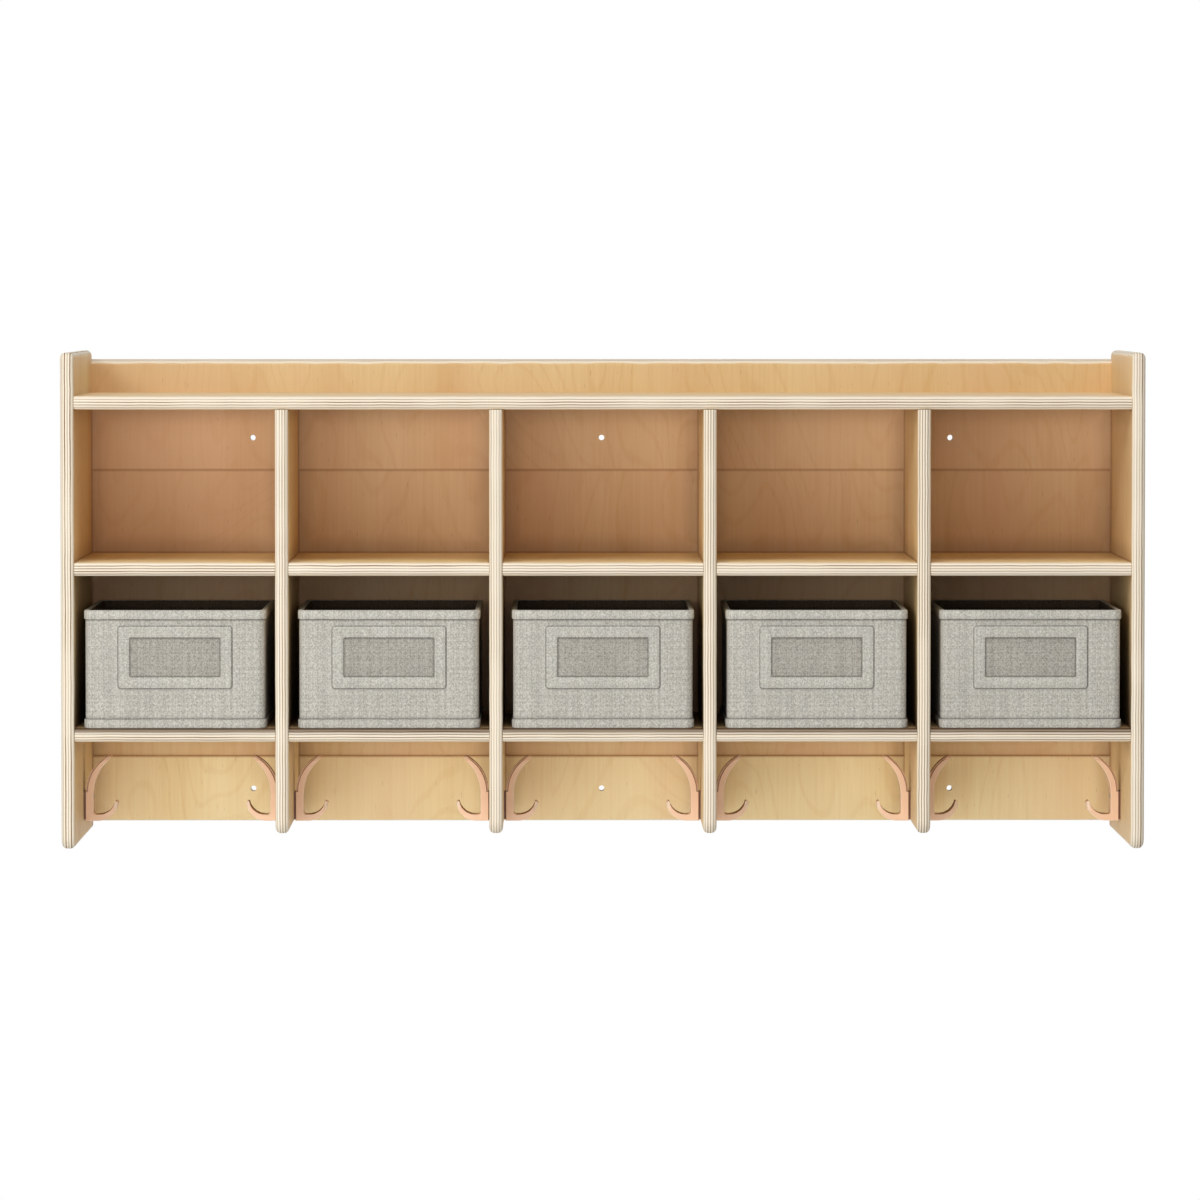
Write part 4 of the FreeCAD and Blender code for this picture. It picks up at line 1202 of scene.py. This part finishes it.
def make_binding(bin_):
    """Its section is (out from the wall, height, wave of the hem), from the outer hem round."""
    hem, top = bin_.rim_low.z, bin_.rim_high.z
    inner, channel = -BIN_WALL - BAND_PROUD, top - RIM_CAP
    section = [
        (BAND_FIT, hem + 0.0004, HEM_WAVE), (BAND_PROUD - 0.0007, hem, HEM_WAVE),
        (BAND_PROUD - 0.0002, hem + 0.0003, HEM_WAVE), (BAND_PROUD, hem + 0.0009, HEM_WAVE),
        (BAND_PROUD, hem + 0.004, 0), (BAND_PROUD, top - 0.0012, 0),
        (BAND_PROUD - 0.0004, top - 0.0004, 0), (BAND_PROUD - 0.0012, top, 0),
        (inner + 0.0012, top, 0), (inner + 0.0004, top - 0.0004, 0), (inner, top - 0.0012, 0),
        (inner, hem + 0.0009, HEM_WAVE), (inner + 0.0007, hem, HEM_WAVE),
        (-BIN_WALL - BAND_FIT, hem + 0.0004, HEM_WAVE), (-BIN_WALL - BAND_FIT, channel, 0),
        (BAND_FIT, channel, 0),
    ]
    rows = [bin_.ring(*place) for place in section]
    binding = loft(f"{bin_.body}_rim_binding", rows, band_cloth, closed=True)
    # painted shade: the inner flap takes the dark lining cloth
    second_cloth(binding, lining_cloth, (SHADED_FLAP_ROW * len(rows[0]), None))
    hand_over(binding, bin_.body, "bin_band", f"{bin_.body}_rim_band")
    return binding


bindings = [make_binding(bin_) for bin_ in bins]
print("binding faces:", len(bindings[0].data.polygons))

# %% [markdown]
# ### Base board
# A loose board under cloth lies on the floor of each bin. It shows when a bin is pulled out. A plain
# box would do, but the bin's own plan, drawn in a little, gives it the same round corners.

# %% Base board
BASE_FIT = 0.001


def make_base_board(bin_):
    """Its section is (out from the wall, height), from the foot up over the rounded edge."""
    low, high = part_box(f"{bin_.body}_base_board")
    inset = -(BIN_WALL + BASE_FIT)
    section = [
        (inset - 0.0008, low.z), (inset, low.z + 0.0008), (inset, high.z - 0.001),
        (inset - 0.0004, high.z - 0.0003), (inset - 0.0012, high.z),
    ]
    points, ways, _ = bin_.plan
    rows = [np.column_stack([points + bin_.centre + ways * grow, np.full(len(points), z)])
            for grow, z in section]
    board = loft(f"{bin_.body}_cloth_base", rows, board_cloth, flat_uv="xy", caps=(0, len(rows) - 1))
    hand_over(board, bin_.body, "bin_board", f"{bin_.body}_base_board")
    return board


boards = [make_base_board(bin_) for bin_ in bins]
print("base boards:", len(boards))

# %% [markdown]
# ### Label holder
# A flat padded frame is sewn on the front wall and leaves a window with a darker cloth behind it.
# A flat frame would cut into the wall, which leans in, so every row of points is laid on the wall
# as it leans there. The section's rounded edges then show under any light, and a flat foot on the
# wall round the frame and the rows at its edges carry painted shade.

# %% Label outline
LABEL_STEPS = 16
LABEL_CORNER_STEPS = 5
LOWER_SIDE = 1


def label_row(bin_, inset, corner, proud):
    """A row round the label, drawn in by inset and laid that far in front of the bin's front wall."""
    low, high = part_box(f"{bin_.body}_label_frame")
    half = (high - low) / 2
    centre = (low + high) / 2
    points, _, _ = rounded_rectangle(half.x - inset, half.z - inset, corner,
                                     LABEL_STEPS, LABEL_CORNER_STEPS, LOWER_SIDE)
    outline = points + (centre.x, centre.z)
    return np.array([(x, bin_.front + bin_.front_shift(x, z) - proud, z) for x, z in outline])


print("points round a label:", len(SIDES) * (LABEL_STEPS + LABEL_CORNER_STEPS))

# %% Label frame and window
LABEL_BORDER = 0.0125
LABEL_CORNER = 0.003
LABEL_SHRINK = 0.0012
LABEL_PROUD = 0.002
WINDOW_CORNER = 0.0016
WINDOW_PROUD = 0.0005
SUNK = 0.0006


def make_frame(bin_):
    """Its section is (inset, how far proud of the wall, painted shade), from the outer edge in."""
    # the first rows lay a flat foot on the wall round the frame, painted dark as its shadow
    section = [
        (-0.0014, -SUNK, 0.0), (-0.0014, 0.0001, 0.1), (-0.0002, 0.0002, 1.0),
        (0.0, 0.0010, 0.8), (0.0003, 0.0015, 0.1), (0.0010, LABEL_PROUD - 0.0002, 0.0),
        (0.0028, LABEL_PROUD, 0.0), (LABEL_BORDER - 0.0028, LABEL_PROUD, 0.0),
        (LABEL_BORDER - 0.0010, LABEL_PROUD - 0.0002, 0.0), (LABEL_BORDER - 0.0003, 0.0015, 0.3),
        (LABEL_BORDER, 0.0010, 1.0), (LABEL_BORDER, -SUNK, 1.0),
    ]
    rows = []
    for inset, proud, _ in section:
        outer = inset < LABEL_BORDER / 2
        corner = LABEL_CORNER - min(inset, LABEL_SHRINK) if outer else WINDOW_CORNER
        rows.append(label_row(bin_, inset, corner, proud))
    fold_shading = [depth for _, _, depth in section]
    surround = loft(f"{bin_.body}_label_surround", rows, band_cloth, "xz", closed=True, row_shades=fold_shading)
    hand_over(surround, bin_.body, "label_fabric", f"{bin_.body}_label_frame")
    return surround


def make_window(bin_):
    """Its section is like the frame's, with insets from the frame's inner edge."""
    # the first rows carry painted shadow of the frame round the window's edge
    section = [
        (-0.001, -SUNK, 0.0), (-0.001, WINDOW_PROUD, 0.9), (0.0006, WINDOW_PROUD, 0.6),
        (0.0024, WINDOW_PROUD, 0.0), (0.012, WINDOW_PROUD, 0.0),
    ]
    rows = [label_row(bin_, LABEL_BORDER + inset, WINDOW_CORNER, proud) for inset, proud, _ in section]
    fold_shading = [depth for _, _, depth in section]
    caps = (0, len(rows) - 1)
    window = loft(f"{bin_.body}_label_window", rows, window_cloth, "xz", caps=caps, row_shades=fold_shading)
    hand_over(window, bin_.body, "label_card", f"{bin_.body}_label_card")
    return window


labels = [make(bin_) for bin_ in bins for make in (make_frame, make_window)]
print("label pieces:", len(labels))

# %% [markdown]
# ## Stitches
# The bands and the label frames are sewn on with a thread of their own colour. A bump in the cloth
# could hint at stitches, but real ones catch the light from every side. A Geometry Nodes tree walks
# along each seam, sets a stitch at every step and turns it along the seam.

# %% Sewing thread
THREAD_PALE = screen_colour(205, 202, 192)
THREAD_DEEP = screen_colour(176, 172, 162)

thread, tree, shader = new_material("sewing thread")
place = object_place(tree)
set_shader(tree, shader, {
    "Base Color": blend(tree, cloud(tree, place, scale=900), THREAD_DEEP, THREAD_PALE),
    "Roughness": span(tree, cloud(tree, place, detail=1.0, scale=1800), 0.6, 0.8),
    "Specular IOR Level": 0.25,
})
print("thread ready")

# %% Stitch tree
stitch_tree, stitch_inputs, given = new_geometry_tree("stitches along a seam", {
    "Step": "NodeSocketFloat", "Length": "NodeSocketFloat", "Thickness": "NodeSocketFloat",
    "Material": "NodeSocketMaterial",
})
path = add_node(stitch_tree, "GeometryNodeMeshToCurve", [given["Geometry"]])
walk = add_node(stitch_tree, "GeometryNodeResampleCurve", mode="LENGTH")
feed(stitch_tree, walk.inputs["Curve"], path.outputs[0])
feed(stitch_tree, walk.inputs["Length"], given["Step"])
ball = add_node(stitch_tree, "GeometryNodeMeshUVSphere", {"Segments": 6, "Rings": 5, "Radius": 0.5})
size = vector(stitch_tree, given["Thickness"], given["Thickness"], given["Length"])
tangent = add_node(stitch_tree, "GeometryNodeInputTangent").outputs[0]
along_seam = add_node(stitch_tree, "FunctionNodeAlignRotationToVector", {"Vector": tangent}, axis="Z")
sew = add_node(stitch_tree, "GeometryNodeInstanceOnPoints", {
    "Points": walk.outputs[0], "Instance": ball.outputs[0],
    "Rotation": along_seam.outputs[0], "Scale": size,
})
finish_tree(stitch_tree, sew.outputs[0], given["Material"])

# %% Stitches on every bin
STITCH_STEP = 0.0034
STITCH_LENGTH = 0.0028
STITCH_THICKNESS = 0.0006
SEAM_INSET = 0.0022
SEAM_CORNER = 0.0015
SEAM_SUNK = 0.0001


def make_stitches(bin_):
    """Stitches along both bands and along both edges of the label frame."""
    seams = [bin_.ring(BAND_PROUD, bin_.rim_low.z + SEAM_INSET),
             bin_.ring(BAND_PROUD, bin_.low.z + BAND_HEIGHT - SEAM_INSET)]
    for inset in (SEAM_INSET, LABEL_BORDER - SEAM_INSET):
        seams.append(label_row(bin_, inset, SEAM_CORNER, LABEL_PROUD - SEAM_SUNK))
    points, edges = [], []
    for seam in seams:
        start = len(points)
        points += [tuple(point) for point in seam]
        edges += [(start + i, start + (i + 1) % len(seam)) for i in range(len(seam))]
    mesh = bpy.data.meshes.new(f"{bin_.body}_seams")
    mesh.from_pydata(points, edges, [])
    stitches = run_tree(
        f"{bin_.body}_stitches", add_object(f"{bin_.body}_seams", mesh), stitch_tree, stitch_inputs,
        step=STITCH_STEP, length=STITCH_LENGTH, thickness=STITCH_THICKNESS, material=thread,
    )
    hand_over(stitches, bin_.body, "bin_band")
    return stitches


stitches = [make_stitches(bin_) for bin_ in bins]
print("stitch faces on a bin:", len(stitches[0].data.polygons))

# %% [markdown]
# ## Floor and light
# The locker hangs on a wall, so its floor lies well below it and keeps its soft shadow there. The
# light is a studio set: a wide soft box low in front and a little to the left, which reaches into
# the cubbies, one high at the left, one overhead and a dim even sky. The sky is plain white where
# the camera or a reflection looks straight at it, and dim as a light, so the backdrop is white
# without more light on the wood.

# %% Floor
FLOOR_DROP = 0.85
FLOOR_REACH = 1.3
FLOOR_PALE = screen_colour(245, 245, 244)
FLOOR_DEEP = screen_colour(240, 240, 239)

floor_mesh = bpy.data.meshes.new("floor")
floor_z = low.z - FLOOR_DROP
corners = ((-1, -1), (1, -1), (1, 1), (-1, 1))
floor_mesh.from_pydata([(x * FLOOR_REACH, y * FLOOR_REACH, floor_z) for x, y in corners], [], [(0, 1, 2, 3)])
floor_paint, tree, shader = new_material("pale floor")
speck = cloud(tree, object_place(tree), detail=3.0, scale=6)
set_shader(tree, shader, {"Base Color": blend(tree, speck, FLOOR_DEEP, FLOOR_PALE), "Roughness": 0.8})
floor_mesh.materials.append(floor_paint)
floor = add_object("floor", floor_mesh)
print("floor at", round(floor_z, 3))

# %% Sky and lamps
SKY_LIGHT = 0.29
LAMPS = {
    # name: (place, width and height, watts)
    "front": ((-1.0, -3.6, -0.4), (3.6, 2.2), 71),
    "high left": ((-2.6, -3.6, 2.0), (1.5, 1.3), 44),
    "overhead": ((0.0, -2.6, 5.8), (4.0, 2.2), 140),
}

world = bpy.data.worlds.new("studio")
bpy.context.scene.world = world
world.use_nodes = True
tree = world.node_tree
sky = next(node for node in tree.nodes if node.type == "BACKGROUND")
seen = add_node(tree, "ShaderNodeLightPath").outputs
shown = calc(tree, "MAXIMUM", seen["Is Camera Ray"], seen["Is Glossy Ray"])
shown = calc(tree, "MAXIMUM", shown, seen["Is Transmission Ray"])
feed(tree, sky.inputs["Strength"], span(tree, shown, SKY_LIGHT, 1.0))
sky.inputs["Color"].default_value = (1.0, 1.0, 1.0, 1.0)

for name, (lamp_place, lamp_size, watts) in LAMPS.items():
    lamp = add_object(name, bpy.data.lights.new(name, "AREA"))
    lamp.data.shape = "RECTANGLE"
    lamp.data.size, lamp.data.size_y = lamp_size
    lamp.data.energy = watts
    lamp.location = lamp_place
    aim_at(lamp, front_centre)
print("lamps:", ", ".join(LAMPS))

# %% [markdown]
# ## Last step
# The colours are shown as they are written, with no film look.

# %% Finish
bpy.context.scene.view_settings.view_transform = "Standard"
